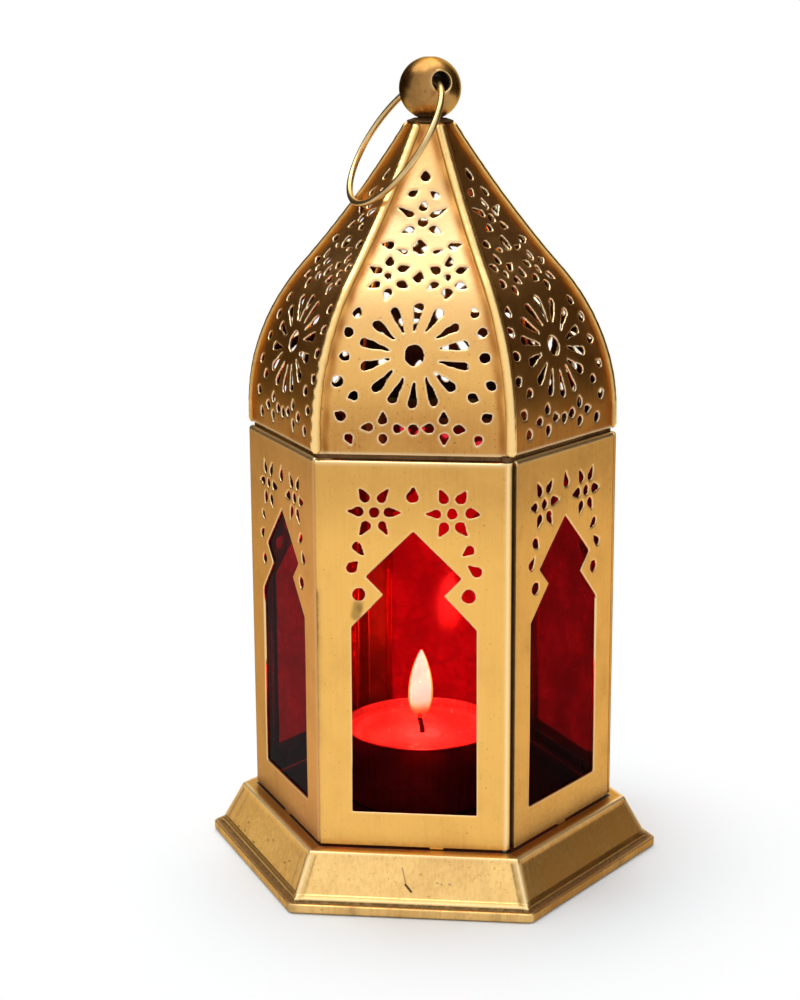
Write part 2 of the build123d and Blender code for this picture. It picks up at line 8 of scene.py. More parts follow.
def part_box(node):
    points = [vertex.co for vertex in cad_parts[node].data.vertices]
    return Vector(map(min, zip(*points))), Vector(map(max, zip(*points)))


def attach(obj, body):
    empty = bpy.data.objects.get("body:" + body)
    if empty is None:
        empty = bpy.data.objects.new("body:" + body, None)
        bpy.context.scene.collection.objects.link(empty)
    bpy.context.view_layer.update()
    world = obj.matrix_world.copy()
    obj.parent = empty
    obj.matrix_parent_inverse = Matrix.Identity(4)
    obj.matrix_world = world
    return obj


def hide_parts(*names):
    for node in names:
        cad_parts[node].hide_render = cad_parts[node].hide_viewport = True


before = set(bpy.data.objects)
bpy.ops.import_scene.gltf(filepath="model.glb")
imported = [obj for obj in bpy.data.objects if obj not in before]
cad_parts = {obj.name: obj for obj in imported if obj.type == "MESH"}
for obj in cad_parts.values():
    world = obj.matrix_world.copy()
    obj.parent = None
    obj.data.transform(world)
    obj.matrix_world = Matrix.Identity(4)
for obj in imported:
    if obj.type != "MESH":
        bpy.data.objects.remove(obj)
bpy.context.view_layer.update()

# Hexagonal candle lantern of pierced brass. Shapes are worked out in millimetres in the CAD model's own
# frame (+Z up, door facing -Y) and go into the meshes in metres.
MM = 0.001


def span(node):
    """Lowest and highest corner of a CAD node, in millimetres."""
    low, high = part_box(node)
    return np.array(low) / MM, np.array(high) / MM


# Sizes read from the frame
plinth_high = span("base_plinth")[1]
rear_high = span("wall_rear")[1]
door_low, door_high = span("door_panel")
pin_low, pin_high = span("hinge_pin")
gore_low, gore_high = span("dome_gore_rear")
cap_low, cap_high = span("dome_cap")
ball_high = span("finial_ball")[1]
ring_low, ring_high = span("carry_ring")
cup_low, cup_high = span("tealight_cup")
wax_low, wax_high = span("tealight_wax")
wick_low, wick_high = span("wick")

sides = 6
corner = math.pi / sides
turns = {"front": 0, "right": 60, "rear_right": 120, "rear": 180, "rear_left": 240, "left": 300}
rib_turns = {
    "front_right": 30,
    "right": 90,
    "rear_right": 150,
    "rear_left": 210,
    "left": 270,
    "front_left": 330,
}

# Plinth
base_top = plinth_high[2]
rim_reach = plinth_high[1]
rim_height = 2.3
skirt_foot = 2.7
skirt_reach = rim_reach - 1.9
ledge_reach = rim_reach - 6.6
hem_reach = rim_reach - 3.0
plinth_sheet = 0.8
skirt_corner = 0.5
rim_corner = 1.8
panel_sink = 0.3
panel_border = 0.8

# Walls and door
wall_reach = rear_high[1]
wall_top = rear_high[2]
wall_foot = base_top + 0.7
wall_sheet = 0.6
half_wall = wall_reach * math.tan(corner)
seam_gap = 0.15
hinge_gap = 1.7
lap_inset = wall_sheet + seam_gap
lap_flange = 3.7
bend_radius = 1.2
top_roll = 0.8
top_return = 2.8
door_return = 2.6
half_return = half_wall - 6.0
hinge_side_return = half_wall - 3.5
hinge_x, hinge_y = (pin_low[0] + pin_high[0]) / 2, (pin_low[1] + pin_high[1]) / 2
knuckle_radius = wall_reach + hinge_y
tab_width = 3.0
tongue_x = 0.23 * half_wall
cut_roll = 0.1
cut_roll_width = 0.4

# Dome
dome_reach = gore_high[1]
dome_foot = gore_low[2]
dome_top = gore_high[2]
dome_straight = 3.9
dome_mouth = 4.3
dome_sheet = 0.6
seam_rise = 0.5
seam_band = 2.3
rib_half_width = 1.25
rib_lift = 0.8

# Finial and ring
ball_radius = 7.0
ball_seat = 2.6
ball_centre = np.array([0.0, 0.0, cap_high[2] + math.sqrt(ball_radius**2 - ball_seat**2)])
hole_radius = 2.25
hole_turn = math.radians(30)
hole_axis = np.array([math.sin(hole_turn), -math.cos(hole_turn), 0.0])
hole_place = np.array([0.0, 0.0, ball_centre[2] + 1.5])
ring_centre = (ring_low + ring_high) / 2
ring_hang = (ring_centre - hole_place) / np.linalg.norm(ring_centre - hole_place)
ring_radius = 16.1
wire_radius = 0.75

# Tealight and flame
cup_middle = np.array([(cup_low[0] + cup_high[0]) / 2, 0.0])
cup_radius = (cup_high[0] - cup_low[0]) / 2
flame_foot = 30.4
flame_tip = 47.7
flame_radius = 2.6

# Grid steps: where holes are cut in a wall and a gore, and along a bend
cut_step = 0.34
gore_step = 0.36
bend_step = 0.13


def outward(turn):
    """Level unit direction that a side faces."""
    return np.array([math.sin(turn), -math.cos(turn), 0.0])


def along(turn):
    """Level unit direction along a side, to the right as seen from outside."""
    return np.array([math.cos(turn), math.sin(turn), 0.0])


# Mesh building


def make_piece(
    name, points, faces, body, nodes, slot, skin, traits=None, thickness=0, sharp=None, inside=None
):
    """One object at the origin from points in millimetres and groups of faces (rows of point numbers).

    Points that no face uses are left out. Traits are values per point, kept as attributes for the
    material. A thickness adds the sheet's inner skin, in its own finish if one is given.
    """
    used, order = np.unique(np.concatenate([group.ravel() for group in faces]), return_inverse=True)
    totals = np.concatenate([np.full(len(group), group.shape[1]) for group in faces])
    mesh = bpy.data.meshes.new(name)
    mesh.vertices.add(len(used))
    mesh.vertices.foreach_set("co", (points[used] * MM).astype(np.float32).ravel())
    mesh.loops.add(len(order))
    mesh.loops.foreach_set("vertex_index", order.astype(np.int32).ravel())
    mesh.polygons.add(len(totals))
    mesh.polygons.foreach_set("loop_start", (np.cumsum(totals) - totals).astype(np.int32))
    mesh.update(calc_edges=True)
    mesh.polygons.foreach_set("use_smooth", np.ones(len(totals), bool))
    for label, values in (traits or {}).items():
        attribute = mesh.attributes.new(label, "FLOAT", "POINT")
        attribute.data.foreach_set("value", values[used].astype(np.float32))
    mesh.materials.append(skin)
    if sharp:
        mesh.set_sharp_from_angle(angle=math.radians(sharp))
    piece = bpy.data.objects.new(name, mesh)
    bpy.context.scene.collection.objects.link(piece)
    if thickness:
        solid = piece.modifiers.new("sheet", "SOLIDIFY")
        solid.thickness = thickness * MM
        solid.offset = -1
        if inside:
            mesh.materials.append(inside)
            solid.material_offset = 1
    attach(piece, body)
    if nodes:
        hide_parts(*nodes)
    return piece


def grid_faces(rows, columns, close_rows=False, close_columns=False):
    """Quads of a grid whose points are numbered row by row; a closed way joins its last line to its first."""
    i = np.arange(rows if close_rows else rows - 1)[:, None]
    j = np.arange(columns if close_columns else columns - 1)[None, :]
    up, over = (i + 1) % rows, (j + 1) % columns
    quads = np.stack(
        np.broadcast_arrays(i * columns + j, i * columns + over, up * columns + over, up * columns + j), -1
    )
    return quads.reshape(-1, 4)


def turned(profile, columns, middle, close_first, close_last):
    """Surface of a profile of (radius, height) rows turned round an upright axis.

    A point is middle + radius * (cos a, sin a) at the profile's height. A closed end is a fan to one
    point on the axis at that end's height.
    """
    radius, height = np.array(profile).T
    a = np.linspace(0, 2 * math.pi, columns, endpoint=False)
    ring = np.stack([np.cos(a), np.sin(a)], -1)
    level = middle + radius[:, None, None] * ring[None]
    points = np.concatenate([level, np.broadcast_to(height[:, None, None], (len(radius), columns, 1))], -1)
    points = points.reshape(-1, 3)
    faces = [grid_faces(len(radius), columns, close_columns=True)]
    j = np.arange(columns)
    nearby = (j + 1) % columns
    for closed, row, order in ((close_first, 0, (1, 0)), (close_last, len(radius) - 1, (0, 1))):
        if closed:
            pole = len(points)
            points = np.vstack([points, [*middle, height[row]]])
            pair = (row * columns + j, row * columns + nearby)
            faces.append(np.stack([pair[order[0]], pair[order[1]], np.full(columns, pole)], -1))
    return points, faces


def lines(*spans):
    """Grid lines through spans of (start, end, step), each divided evenly."""
    runs = [np.linspace(a, b, max(1, round((b - a) / step)) + 1) for a, b, step in spans]
    return np.unique(np.round(np.concatenate(runs), 5))


def bent_line(along_sheet, stretches):
    """A sheet's section from its stretches of (length, turn): the heading grows evenly through each stretch,
    and the point is the running sum of the unit steps along it. Gives the way forward, the way in and the
    heading.
    """
    lengths, bends = np.array(stretches, float).T
    ends = np.concatenate([[0], np.cumsum(lengths)])
    heading = np.interp(along_sheet, ends, np.concatenate([[0], np.cumsum(bends)]))
    middle = (heading[1:] + heading[:-1]) / 2
    step = np.diff(along_sheet)
    forward = np.concatenate([[0], np.cumsum(np.cos(middle) * step)])
    inward = np.concatenate([[0], np.cumsum(np.sin(middle) * step)])
    return forward, inward, heading


def rounded_line(corners, radii, steps=6):
    """A line through corners, each rounded by an arc of its radius that touches both of its legs."""
    corners = [np.array(c, float) for c in corners]
    line = [corners[0]]
    for before, here, after, radius in zip(corners, corners[1:], corners[2:], radii):
        legs = [(p - here) / np.linalg.norm(p - here) for p in (before, after)]
        half = math.acos(np.clip(legs[0] @ legs[1], -1, 1)) / 2
        centre = here + (legs[0] + legs[1]) / np.linalg.norm(legs[0] + legs[1]) * radius / math.sin(half)
        touch = [here + leg * radius / math.tan(half) for leg in legs]
        swing = np.linspace(0, 1, steps + 1)[:, None]
        chord = touch[0] * (1 - swing) + touch[1] * swing - centre
        line.extend(centre + radius * chord / np.linalg.norm(chord, axis=1, keepdims=True))
    return np.array(line + [corners[-1]])


def refined(line, step):
    """A line with further points, evenly put, so that no two neighbours are more than a step apart."""
    gaps = np.linalg.norm(np.diff(line, axis=0), axis=1)
    counts = [math.ceil(gap / step) for gap in gaps]
    runs = [np.linspace(a, b, count, endpoint=False) for a, b, count in zip(line, line[1:], counts)]
    return np.vstack(runs + [line[-1:]])


def capped_tube(rings):
    """Points and faces of a tube through rings of points, closed by fans to the middles of its end rings."""
    rows, columns = rings.shape[:2]
    flat = np.vstack([rings.reshape(-1, 3), rings[0].mean(0), rings[-1].mean(0)])
    j = np.arange(columns)
    nearby = (j + 1) % columns
    last = (rows - 1) * columns
    first_cap = np.stack([nearby, j, np.full(columns, len(flat) - 2)], -1)
    last_cap = np.stack([last + j, last + nearby, np.full(columns, len(flat) - 1)], -1)
    return flat, [grid_faces(rows, columns, close_columns=True), first_cap, last_cap]


def smooth(value):
    """Eases from 0 to 1 as the value goes from 0 to 1."""
    t = np.clip(value, 0, 1)
    return t * t * (3 - 2 * t)


def hill(off, width):
    """A bell, e to the minus square of offset over width: 1 at no offset, falling away to both sides."""
    return np.exp(-((off / width) ** 2))


def wobble(x, y, seed, wave=4.0):
    """Uneven hand of the maker: a sum of five sine waves in random directions, between about -1 and 1."""
    waves = np.random.default_rng(seed)
    total = np.zeros(np.broadcast(x, y).shape)
    for i in range(5):
        turn = waves.uniform(0, 2 * math.pi)
        length = wave * waves.uniform(0.5, 1.6)
        phase = waves.uniform(0, 7)
        total += np.sin((x * math.cos(turn) + y * math.sin(turn)) * 2 * math.pi / length + phase)
    return total / 3


# Piercings, as distances in millimetres that are negative inside a hole


def drop_hole(x, y, place, length, width, turn):
    """A drop: the hull of a round foot and a small round tip. Turn 0 points the tip up, and it grows
    anticlockwise. A hole hardly longer than wide is a rounded one.
    """
    a = math.radians(turn)
    foot = width / 2
    tip = width * (0.1 if length > 1.15 * width else 0.47)
    reach = max(length - foot - tip, 1.05 * (foot - tip))
    dx, dy = x - place[0], y - place[1]
    up = dy * math.cos(a) - dx * math.sin(a) + length / 2 - foot
    side = np.abs(dx * math.cos(a) + dy * math.sin(a))
    lean = (foot - tip) / reach
    flank = math.sqrt(1 - lean * lean)
    k = flank * up - lean * side
    on_flank = side * flank + up * lean - foot
    on_tip = np.hypot(side, up - reach) - tip
    return np.where(k < 0, np.hypot(side, up) - foot, np.where(k > flank * reach, on_tip, on_flank))


def outline_hole(x, y, corners, soften):
    """A closed outline with softened corners: the least distance to its edges, negative inside."""
    near = np.full(np.broadcast(x, y).shape, 1e9)
    inside = np.zeros(near.shape, bool)
    for (ax, ay), (bx, by) in zip(corners, corners[1:] + corners[:1]):
        ex, ey = bx - ax, by - ay
        t = np.clip(((x - ax) * ex + (y - ay) * ey) / (ex * ex + ey * ey), 0, 1)
        near = np.minimum(near, np.hypot(x - ax - t * ex, y - ay - t * ey))
        across = (ay > y) != (by > y)
        inside ^= across & (x < (y - ay) * ex / (ey if ey else 1e-9) + ax)
    return np.where(inside, -near, near) - soften


def nearest_hole(x, y, drops, seed):
    """Least distance to any of the drops (place, length, width, turn), each cut a little unevenly."""
    hand = np.random.default_rng(seed)
    x, y = x + 0.1 * wobble(x, y, seed + 1, 2.6), y + 0.1 * wobble(x, y, seed + 2, 2.6)
    field = np.full(np.broadcast(x, y).shape, 1e9)
    for place, length, width, turn in drops:
        shift = hand.normal(0, 0.1, 2)
        grow = 1 + hand.normal(0, 0.05, 2)
        hole = drop_hole(
            x, y, np.array(place) + shift, length * grow[0], width * grow[1], turn + hand.normal(0, 5)
        )
        field = np.minimum(field, hole)
    return field


def clip_sheet(x, y, field):
    """The part of a grid where the field is positive, by marching squares.

    Grid points keep their numbers; a cut on a grid edge gets a new point where the field, taken as
    straight along the edge, is zero. Each cell's four signs choose its face. Gives flat points, the
    field at them and the groups of faces.
    """
    rows, columns = field.shape
    t_over = np.clip(field[:, :-1] / (field[:, :-1] - field[:, 1:] + 1e-12), 0.03, 0.97)
    t_up = np.clip(field[:-1] / (field[:-1] - field[1:] + 1e-12), 0.03, 0.97)
    flat = np.stack([x, y, field], -1)
    over = flat[:, :-1] + (flat[:, 1:] - flat[:, :-1]) * t_over[..., None]
    up = flat[:-1] + (flat[1:] - flat[:-1]) * t_up[..., None]
    points = np.concatenate([flat.reshape(-1, 3), over.reshape(-1, 3), up.reshape(-1, 3)])
    i, j = np.meshgrid(np.arange(rows - 1), np.arange(columns - 1), indexing="ij")
    first_over, first_up = rows * columns, rows * columns + rows * (columns - 1)
    refs = np.stack(
        [
            i * columns + j,
            i * columns + j + 1,
            (i + 1) * columns + j + 1,
            (i + 1) * columns + j,
            first_over + i * (columns - 1) + j,
            first_up + i * columns + j + 1,
            first_over + (i + 1) * (columns - 1) + j,
            first_up + i * columns + j,
        ],
        -1,
    )
    metal = field > 0
    case = metal[:-1, :-1] + 2 * metal[:-1, 1:] + 4 * metal[1:, 1:] + 8 * metal[1:, :-1]
    cuts = {
        1: [(0, 4, 7)],
        2: [(1, 5, 4)],
        3: [(0, 1, 5, 7)],
        4: [(2, 6, 5)],
        5: [(0, 4, 7), (2, 6, 5)],
        6: [(1, 2, 6, 4)],
        7: [(0, 1, 2, 6, 7)],
        8: [(3, 7, 6)],
        9: [(0, 4, 6, 3)],
        10: [(1, 5, 4), (3, 7, 6)],
        11: [(0, 1, 5, 6, 3)],
        12: [(2, 3, 7, 5)],
        13: [(0, 4, 5, 2, 3)],
        14: [(1, 2, 3, 7, 4)],
        15: [(0, 1, 2, 3)],
    }
    faces = [refs[case == code][:, list(cut)] for code, cut_list in cuts.items() for cut in cut_list]
    return points[:, :2], points[:, 2], [group for group in faces if len(group)]


# Materials


def put(tree, socket, value):
    """A node's input, set to a value or linked to another node's output."""
    if isinstance(value, bpy.types.NodeSocket):
        tree.links.new(value, socket)
    else:
        socket.default_value = value


def add_node(tree, kind, inputs=None, **settings):
    """A shader node with its settings, and its inputs set to values or linked to other nodes' outputs."""
    made = tree.nodes.new("ShaderNode" + kind)
    for setting, value in settings.items():
        setattr(made, setting, value)
    for socket, value in (inputs or {}).items():
        put(tree, made.inputs[socket], value)
    return made


def new_group(name, inputs, outputs):
    """An empty shader node group with named inputs (name, kind, first value) and outputs (name, kind)."""
    tree = bpy.data.node_groups.new(name, "ShaderNodeTree")
    for socket, kind, value in inputs:
        made = tree.interface.new_socket(name=socket, in_out="INPUT", socket_type="NodeSocket" + kind)
        made.default_value = value
    for socket, kind in outputs:
        tree.interface.new_socket(name=socket, in_out="OUTPUT", socket_type="NodeSocket" + kind)
    return tree, tree.nodes.new("NodeGroupInput").outputs, tree.nodes.new("NodeGroupOutput").inputs


def mix(tree, factor, first, second):
    """Two colours mixed by a factor."""
    return add_node(tree, "Mix", {0: factor, 6: first, 7: second}, data_type="RGBA").outputs[2]


def calc(tree, operation, *values, clamp=False):
    """One sum on values or sockets."""
    return add_node(tree, "Math", dict(enumerate(values)), operation=operation, use_clamp=clamp).outputs[0]


def vector(tree, operation, *values):
    """One vector sum; a length, distance or dot product gives a number."""
    made = add_node(tree, "VectorMath", dict(enumerate(values)), operation=operation)
    return made.outputs["Value" if operation in ("LENGTH", "DISTANCE", "DOT_PRODUCT") else "Vector"]


def at_object(tree):
    """Place in the piece's own coordinates, in metres."""
    return add_node(tree, "TexCoord").outputs["Object"]


def trait(tree, name):
    """A value that the piece's points carry."""
    return add_node(tree, "Attribute", attribute_name=name).outputs["Fac"]


def noise(tree, place, scale, detail=2.0, rough=0.5):
    """Cloudy noise, about 0 to 1."""
    inputs = {"Vector": place, "Scale": scale, "Detail": detail, "Roughness": rough}
    return add_node(tree, "TexNoise", inputs).outputs["Fac"]


def ramp(tree, value, low, high, to_low=0.0, to_high=1.0):
    """Eases a value from one range into another, held at its ends."""
    return add_node(
        tree,
        "MapRange",
        {"Value": value, "From Min": low, "From Max": high, "To Min": to_low, "To Max": to_high},
        interpolation_type="SMOOTHSTEP",
    ).outputs["Result"]


def rgb(*parts):
    """A colour with full alpha."""
    return (*parts, 1.0)


def dress(tree, shader, colour, rough, height, strength, distance):
    """Gives a shader its colour and roughness, and the bump of a height."""
    relief = add_node(tree, "Bump", {"Height": height, "Strength": strength, "Distance": distance})
    put(tree, shader.inputs["Base Color"], colour)
    put(tree, shader.inputs["Roughness"], rough)
    put(tree, shader.inputs["Normal"], relief.outputs["Normal"])


def seen_directly(tree):
    """1 for what the camera, a reflection or a view through glass sees, 0 for light that falls on things."""
    path = add_node(tree, "LightPath").outputs
    seen = calc(tree, "ADD", path["Is Camera Ray"], path["Is Glossy Ray"])
    return calc(tree, "ADD", seen, path["Is Transmission Ray"], clamp=True)


def build_brass_group():
    """Brass sheet: slow blotches of tarnish, fine brushing along one way, pits, bright worn edges and grime,
    with painted highlights and painted shade.

    The pieces' own attributes say where an edge is worn bright or a highlight is painted
    (wear_and_highlight), where the sheet is more tarnished or painted darker as shade (patina_and_shade) and
    where grime or painted shade, which is no metal, sits (grime_and_shade).
    """
    tree, given, out = new_group(
        "brass_sheet",
        [
            ("Brass", "Color", rgb(0.9, 0.53, 0.15)),
            ("Tarnish", "Color", rgb(0.5, 0.24, 0.06)),
            ("Worn", "Color", rgb(1.0, 0.78, 0.42)),
            ("Tarnish Share", "Float", 0.4),
            ("Blotch Scale", "Float", 70.0),
            ("Brushing", "Vector", (1500.0, 1500.0, 60.0)),
            ("Brush Share", "Float", 0.3),
            ("Gloss", "Float", 0.3),
            ("Worn Gloss", "Float", 0.27),
        ],
        [("Color", "Color"), ("Roughness", "Float"), ("Metallic", "Float"), ("Height", "Float")],
    )
    # Dark brown of grime and painted shade, and near-black of soot and painted shade used above 0.85
    darkening, soot_and_shade = rgb(0.085, 0.045, 0.018), rgb(0.015, 0.009, 0.005)
    place = at_object(tree)
    slow = noise(tree, place, given["Blotch Scale"], 5.0, 0.62)
    fine = noise(tree, place, 900.0, 4.0)
    brush = noise(tree, vector(tree, "MULTIPLY", place, given["Brushing"]), 1.0, 3.0, 0.7)
    pits = noise(tree, place, 1400.0, 1.0)
    wear_and_highlight, grime_and_shade, patina_and_shade = trait(tree, "wear_and_highlight"), trait(tree, "grime_and_shade"), trait(tree, "patina_and_shade")
    blotch = ramp(tree, slow, 0.42, 0.72)
    brush_mask = ramp(tree, brush, 0.35, 0.75)
    pit_mask = ramp(tree, pits, 0.69, 0.74)
    half_brush = calc(tree, "MULTIPLY", given["Brush Share"], 0.5)
    share = calc(tree, "MULTIPLY_ADD", blotch, given["Tarnish Share"], patina_and_shade)
    share = calc(tree, "MULTIPLY_ADD", brush_mask, half_brush, share)
    share = calc(tree, "MULTIPLY_ADD", pit_mask, 0.45, share, clamp=True)
    spotty = calc(tree, "MULTIPLY", grime_and_shade, ramp(tree, fine, 0.3, 0.6, 0.65, 1.0))
    spotty = calc(tree, "MAXIMUM", spotty, calc(tree, "MULTIPLY_ADD", grime_and_shade, 2.0, -1.0))
    colour = mix(tree, share, given["Brass"], given["Tarnish"])
    colour = mix(tree, spotty, colour, darkening)
    colour = mix(tree, ramp(tree, grime_and_shade, 0.85, 1.0), colour, soot_and_shade)
    colour = mix(tree, wear_and_highlight, colour, given["Worn"])
    rough = given["Gloss"]
    for mask, more in ((blotch, 0.1), (brush_mask, 0.07), (spotty, 0.25)):
        rough = calc(tree, "MULTIPLY_ADD", mask, more, rough)
    rough = calc(tree, "MULTIPLY_ADD", wear_and_highlight, calc(tree, "SUBTRACT", given["Worn Gloss"], rough), rough)
    height = calc(tree, "MULTIPLY", brush, given["Brush Share"])
    height = calc(tree, "MULTIPLY_ADD", fine, 0.25, height)
    height = calc(tree, "MULTIPLY_ADD", pit_mask, -0.5, height)
    metal = calc(tree, "MULTIPLY_ADD", spotty, -0.85, 1.0)
    for socket, value in (("Color", colour), ("Roughness", rough), ("Metallic", metal), ("Height", height)):
        tree.links.new(value, out[socket])
    return tree


brass_group = build_brass_group()


def new_material(name):
    """An empty node material: its tree and its Principled shader."""
    made = bpy.data.materials.new(name)
    made.use_nodes = True
    return made, made.node_tree, made.node_tree.nodes["Principled BSDF"]


def mark(tree, place, start, end, width):
    """Mask of a scratch, pit or smudge: 1 along a line between two points in millimetres, 0 past a width."""
    start, end = Vector(start) * MM, Vector(end) * MM
    way = end - start
    off = vector(tree, "SUBTRACT", place, start)
    share = calc(tree, "DIVIDE", vector(tree, "DOT_PRODUCT", off, way), way.length_squared, clamp=True)
    foot = add_node(tree, "VectorMath", {0: way, "Scale": share}, operation="SCALE").outputs["Vector"]
    return ramp(tree, vector(tree, "DISTANCE", off, foot), 0.3 * width * MM, width * MM, 1.0, 0.0)


def brass(name, bump, coat, marks=(), **values):
    """A brass finish: the brass group with this piece's own values, bumped and thinly lacquered. Marks are
    rows of (start, end, width, depth of soil).
    """
    made, tree, shader = new_material(name)
    sheet = add_node(tree, "Group", node_tree=brass_group)
    for socket, value in values.items():
        sheet.inputs[socket.replace("_", " ")].default_value = value
    colour = sheet.outputs["Color"]
    place = at_object(tree)
    for start, end, width, depth in marks:
        soiled = calc(tree, "MULTIPLY", mark(tree, place, start, end, width), depth)
        colour = mix(tree, soiled, colour, rgb(0.06, 0.03, 0.012))
    dress(tree, shader, colour, sheet.outputs["Roughness"], sheet.outputs["Height"], bump, 0.0002)
    tree.links.new(sheet.outputs["Metallic"], shader.inputs["Metallic"])
    shader.inputs["Coat Weight"].default_value = coat
    shader.inputs["Coat Roughness"].default_value = 0.25
    shader.inputs["Specular Tint"].default_value = rgb(1.0, 0.75, 0.4)
    return made


skirt_marks = [
    ((-2.3, -41.3, 9.6), (-1.3, -42.9, 6.3), 0.22, 0.6),
    ((-1.4, -42.9, 6.3), (-0.1, -43.5, 5.0), 0.4, 0.95),
    ((5.6, -42.6, 6.9), (5.8, -42.6, 6.9), 0.34, 0.4),
    ((6.5, -42.7, 6.7), (6.7, -42.7, 6.6), 0.34, 0.35),
    ((8.3, -42.7, 6.8), (8.6, -42.7, 6.7), 0.36, 0.4),
    ((-46.3, -7.7, 4.0), (-45.9, -8.4, 4.1), 0.42, 0.5),
    ((-44.2, -11.1, 4.4), (-43.7, -11.8, 4.5), 0.4, 0.45),
    ((-43.3, -10.6, 6.4), (-42.9, -11.3, 6.4), 0.36, 0.45),
    ((-40.9, -17.1, 4.1), (-40.5, -17.8, 4.2), 0.45, 0.6),
    ((-36.4, -22.1, 6.9), (-36.0, -22.7, 6.9), 0.4, 0.5),
    ((-34.9, -23.9, 7.7), (-34.5, -24.6, 7.8), 0.34, 0.4),
    ((-30.5, -33.0, 6.2), (-30.1, -33.6, 6.3), 0.42, 0.5),
    ((-29.2, -34.3, 7.2), (-28.8, -34.9, 7.3), 0.36, 0.4),
]
door_marks = [
    ((-12.2, -37.2, 69.0), (-12.7, -37.2, 66.6), 1.7, 0.5),
    ((-11.9, -37.2, 68.4), (-11.8, -37.2, 68.0), 1.0, 0.3),
]
door_brass = brass(
    "door_brass", 0.25, 0.03, door_marks,
    Brass=rgb(0.93, 0.53, 0.132), Gloss=0.34, Tarnish_Share=0.16, Brush_Share=0.12,
)
wall_brass = brass(
    "wall_brass", 0.25, 0.03,
    Brass=rgb(0.86, 0.45, 0.11), Gloss=0.34, Tarnish_Share=0.22, Brush_Share=0.12,
)
# Darker copy of the wall brass for the left wall: painted shade
shaded_wall_brass = brass(
    "shaded_wall_brass", 0.25, 0.03,
    Brass=rgb(0.7, 0.33, 0.108), Gloss=0.36, Tarnish_Share=0.22, Brush_Share=0.12,
)
plinth_brass = brass(
    "plinth_brass", 0.3, 0.03, skirt_marks,
    Brass=rgb(1.0, 0.66, 0.245), Gloss=0.3, Worn_Gloss=0.5, Tarnish_Share=0.25, Brush_Share=0.5,
    Brushing=(1500.0, 1500.0, 90.0),
)
# Its pale cream Worn colour serves both the worn hole rims and the painted highlight on the gores
dome_brass = brass(
    "dome_brass", 0.25, 0.05,
    Brass=rgb(0.86, 0.48, 0.13), Tarnish=rgb(0.42, 0.14, 0.02), Worn=rgb(1.0, 0.84, 0.55),
    Gloss=0.3, Tarnish_Share=0.25, Brush_Share=0.15,
)
rib_brass = brass(
    "rib_brass", 0.25, 0.05,
    Worn=rgb(1.0, 0.7, 0.3), Gloss=0.28, Tarnish_Share=0.35, Blotch_Scale=260.0, Brush_Share=0.1,
)
ball_brass = brass(
    "ball_brass", 0.25, 0.05,
    Brass=rgb(0.47, 0.25, 0.075), Tarnish=rgb(0.18, 0.085, 0.024),
    Gloss=0.26, Tarnish_Share=0.3, Blotch_Scale=200.0, Brush_Share=0.1,
)
ring_brass = brass(
    "ring_brass", 0.2, 0.05,
    Brass=rgb(0.6, 0.4, 0.17), Tarnish=rgb(0.3, 0.17, 0.06),
    Gloss=0.28, Tarnish_Share=0.45, Blotch_Scale=260.0, Brush_Share=0.1,
)
# Near-black brass of soot and painted shade: the gores' inner skin, the neck frame, pane rails, the cap and
# the strip behind the hinge
soot_and_shade_brass = brass(
    "soot_and_shade_brass", 0.3, 0.0,
    Brass=rgb(0.16, 0.085, 0.035), Tarnish=rgb(0.035, 0.02, 0.011), Worn=rgb(0.3, 0.17, 0.07),
    Gloss=0.5, Tarnish_Share=0.8,
)
smoked_brass = brass(
    "smoked_brass", 0.2, 0.0,
    Brass=rgb(0.5, 0.25, 0.08), Tarnish=rgb(0.16, 0.075, 0.025),
    Gloss=0.45, Tarnish_Share=0.6, Brush_Share=0.2,
)


def build_ruby_glass(name, pale, deep, haze, bend):
    """Ruby window glass, drawn by hand: red between two depths, with slow waves, dust and the seams of
    hammered cells, hazy or clear, and bending light more or less. Lamps shine through it.
    """
    made, tree, shader = new_material(name)
    place = at_object(tree)
    streak = add_node(tree, "TexNoise", {"Vector": place, "Scale": 110.0, "Detail": 3.0}).outputs
    dust = noise(tree, place, 420.0, 6.0, 0.7)
    specks = noise(tree, place, 650.0, 1.0)
    drifted = vector(tree, "ADD", place, vector(tree, "MULTIPLY", streak["Color"], (0.008, 0.008, 0.008)))
    cells = add_node(tree, "TexVoronoi", {"Vector": drifted, "Scale": 170.0}, feature="DISTANCE_TO_EDGE")
    colour = mix(tree, ramp(tree, streak["Fac"], 0.35, 0.7), pale, deep)
    colour = mix(tree, ramp(tree, dust, 0.5, 0.75, 0.0, 0.5), colour, deep)
    colour = mix(tree, ramp(tree, cells.outputs["Distance"], 0.0, 0.16, 0.55, 0.0), colour, deep)
    colour = mix(tree, ramp(tree, specks, 0.74, 0.78, 0.0, 0.6), colour, rgb(0.9, 0.2, 0.2))
    dress(tree, shader, colour, haze, noise(tree, place, 45.0), 0.12, 0.002)
    shader.inputs["Transmission Weight"].default_value = 1.0
    shader.inputs["IOR"].default_value = bend
    through = add_node(tree, "BsdfTransparent", {"Color": rgb(0.72, 0.1, 0.12)})
    shadow = add_node(tree, "LightPath").outputs["Is Shadow Ray"]
    both = add_node(tree, "MixShader", {0: shadow, 1: shader.outputs[0], 2: through.outputs[0]})
    tree.links.new(both.outputs[0], tree.nodes["Material Output"].inputs["Surface"])
    return made


def build_steel():
    """Drawn steel of the pin, stud and nut: grey with fine turning marks and brown spots."""
    made, tree, shader = new_material("steel")
    place = at_object(tree)
    spots = noise(tree, place, 500.0, 4.0)
    marks = noise(tree, vector(tree, "MULTIPLY", place, (200, 200, 4000)), 5.0)
    colour = mix(tree, ramp(tree, spots, 0.52, 0.7), rgb(0.5, 0.48, 0.45), rgb(0.28, 0.17, 0.09))
    dress(tree, shader, colour, ramp(tree, spots, 0.4, 0.7, 0.3, 0.6), marks, 0.2, 0.0001)
    shader.inputs["Metallic"].default_value = 1.0
    return made


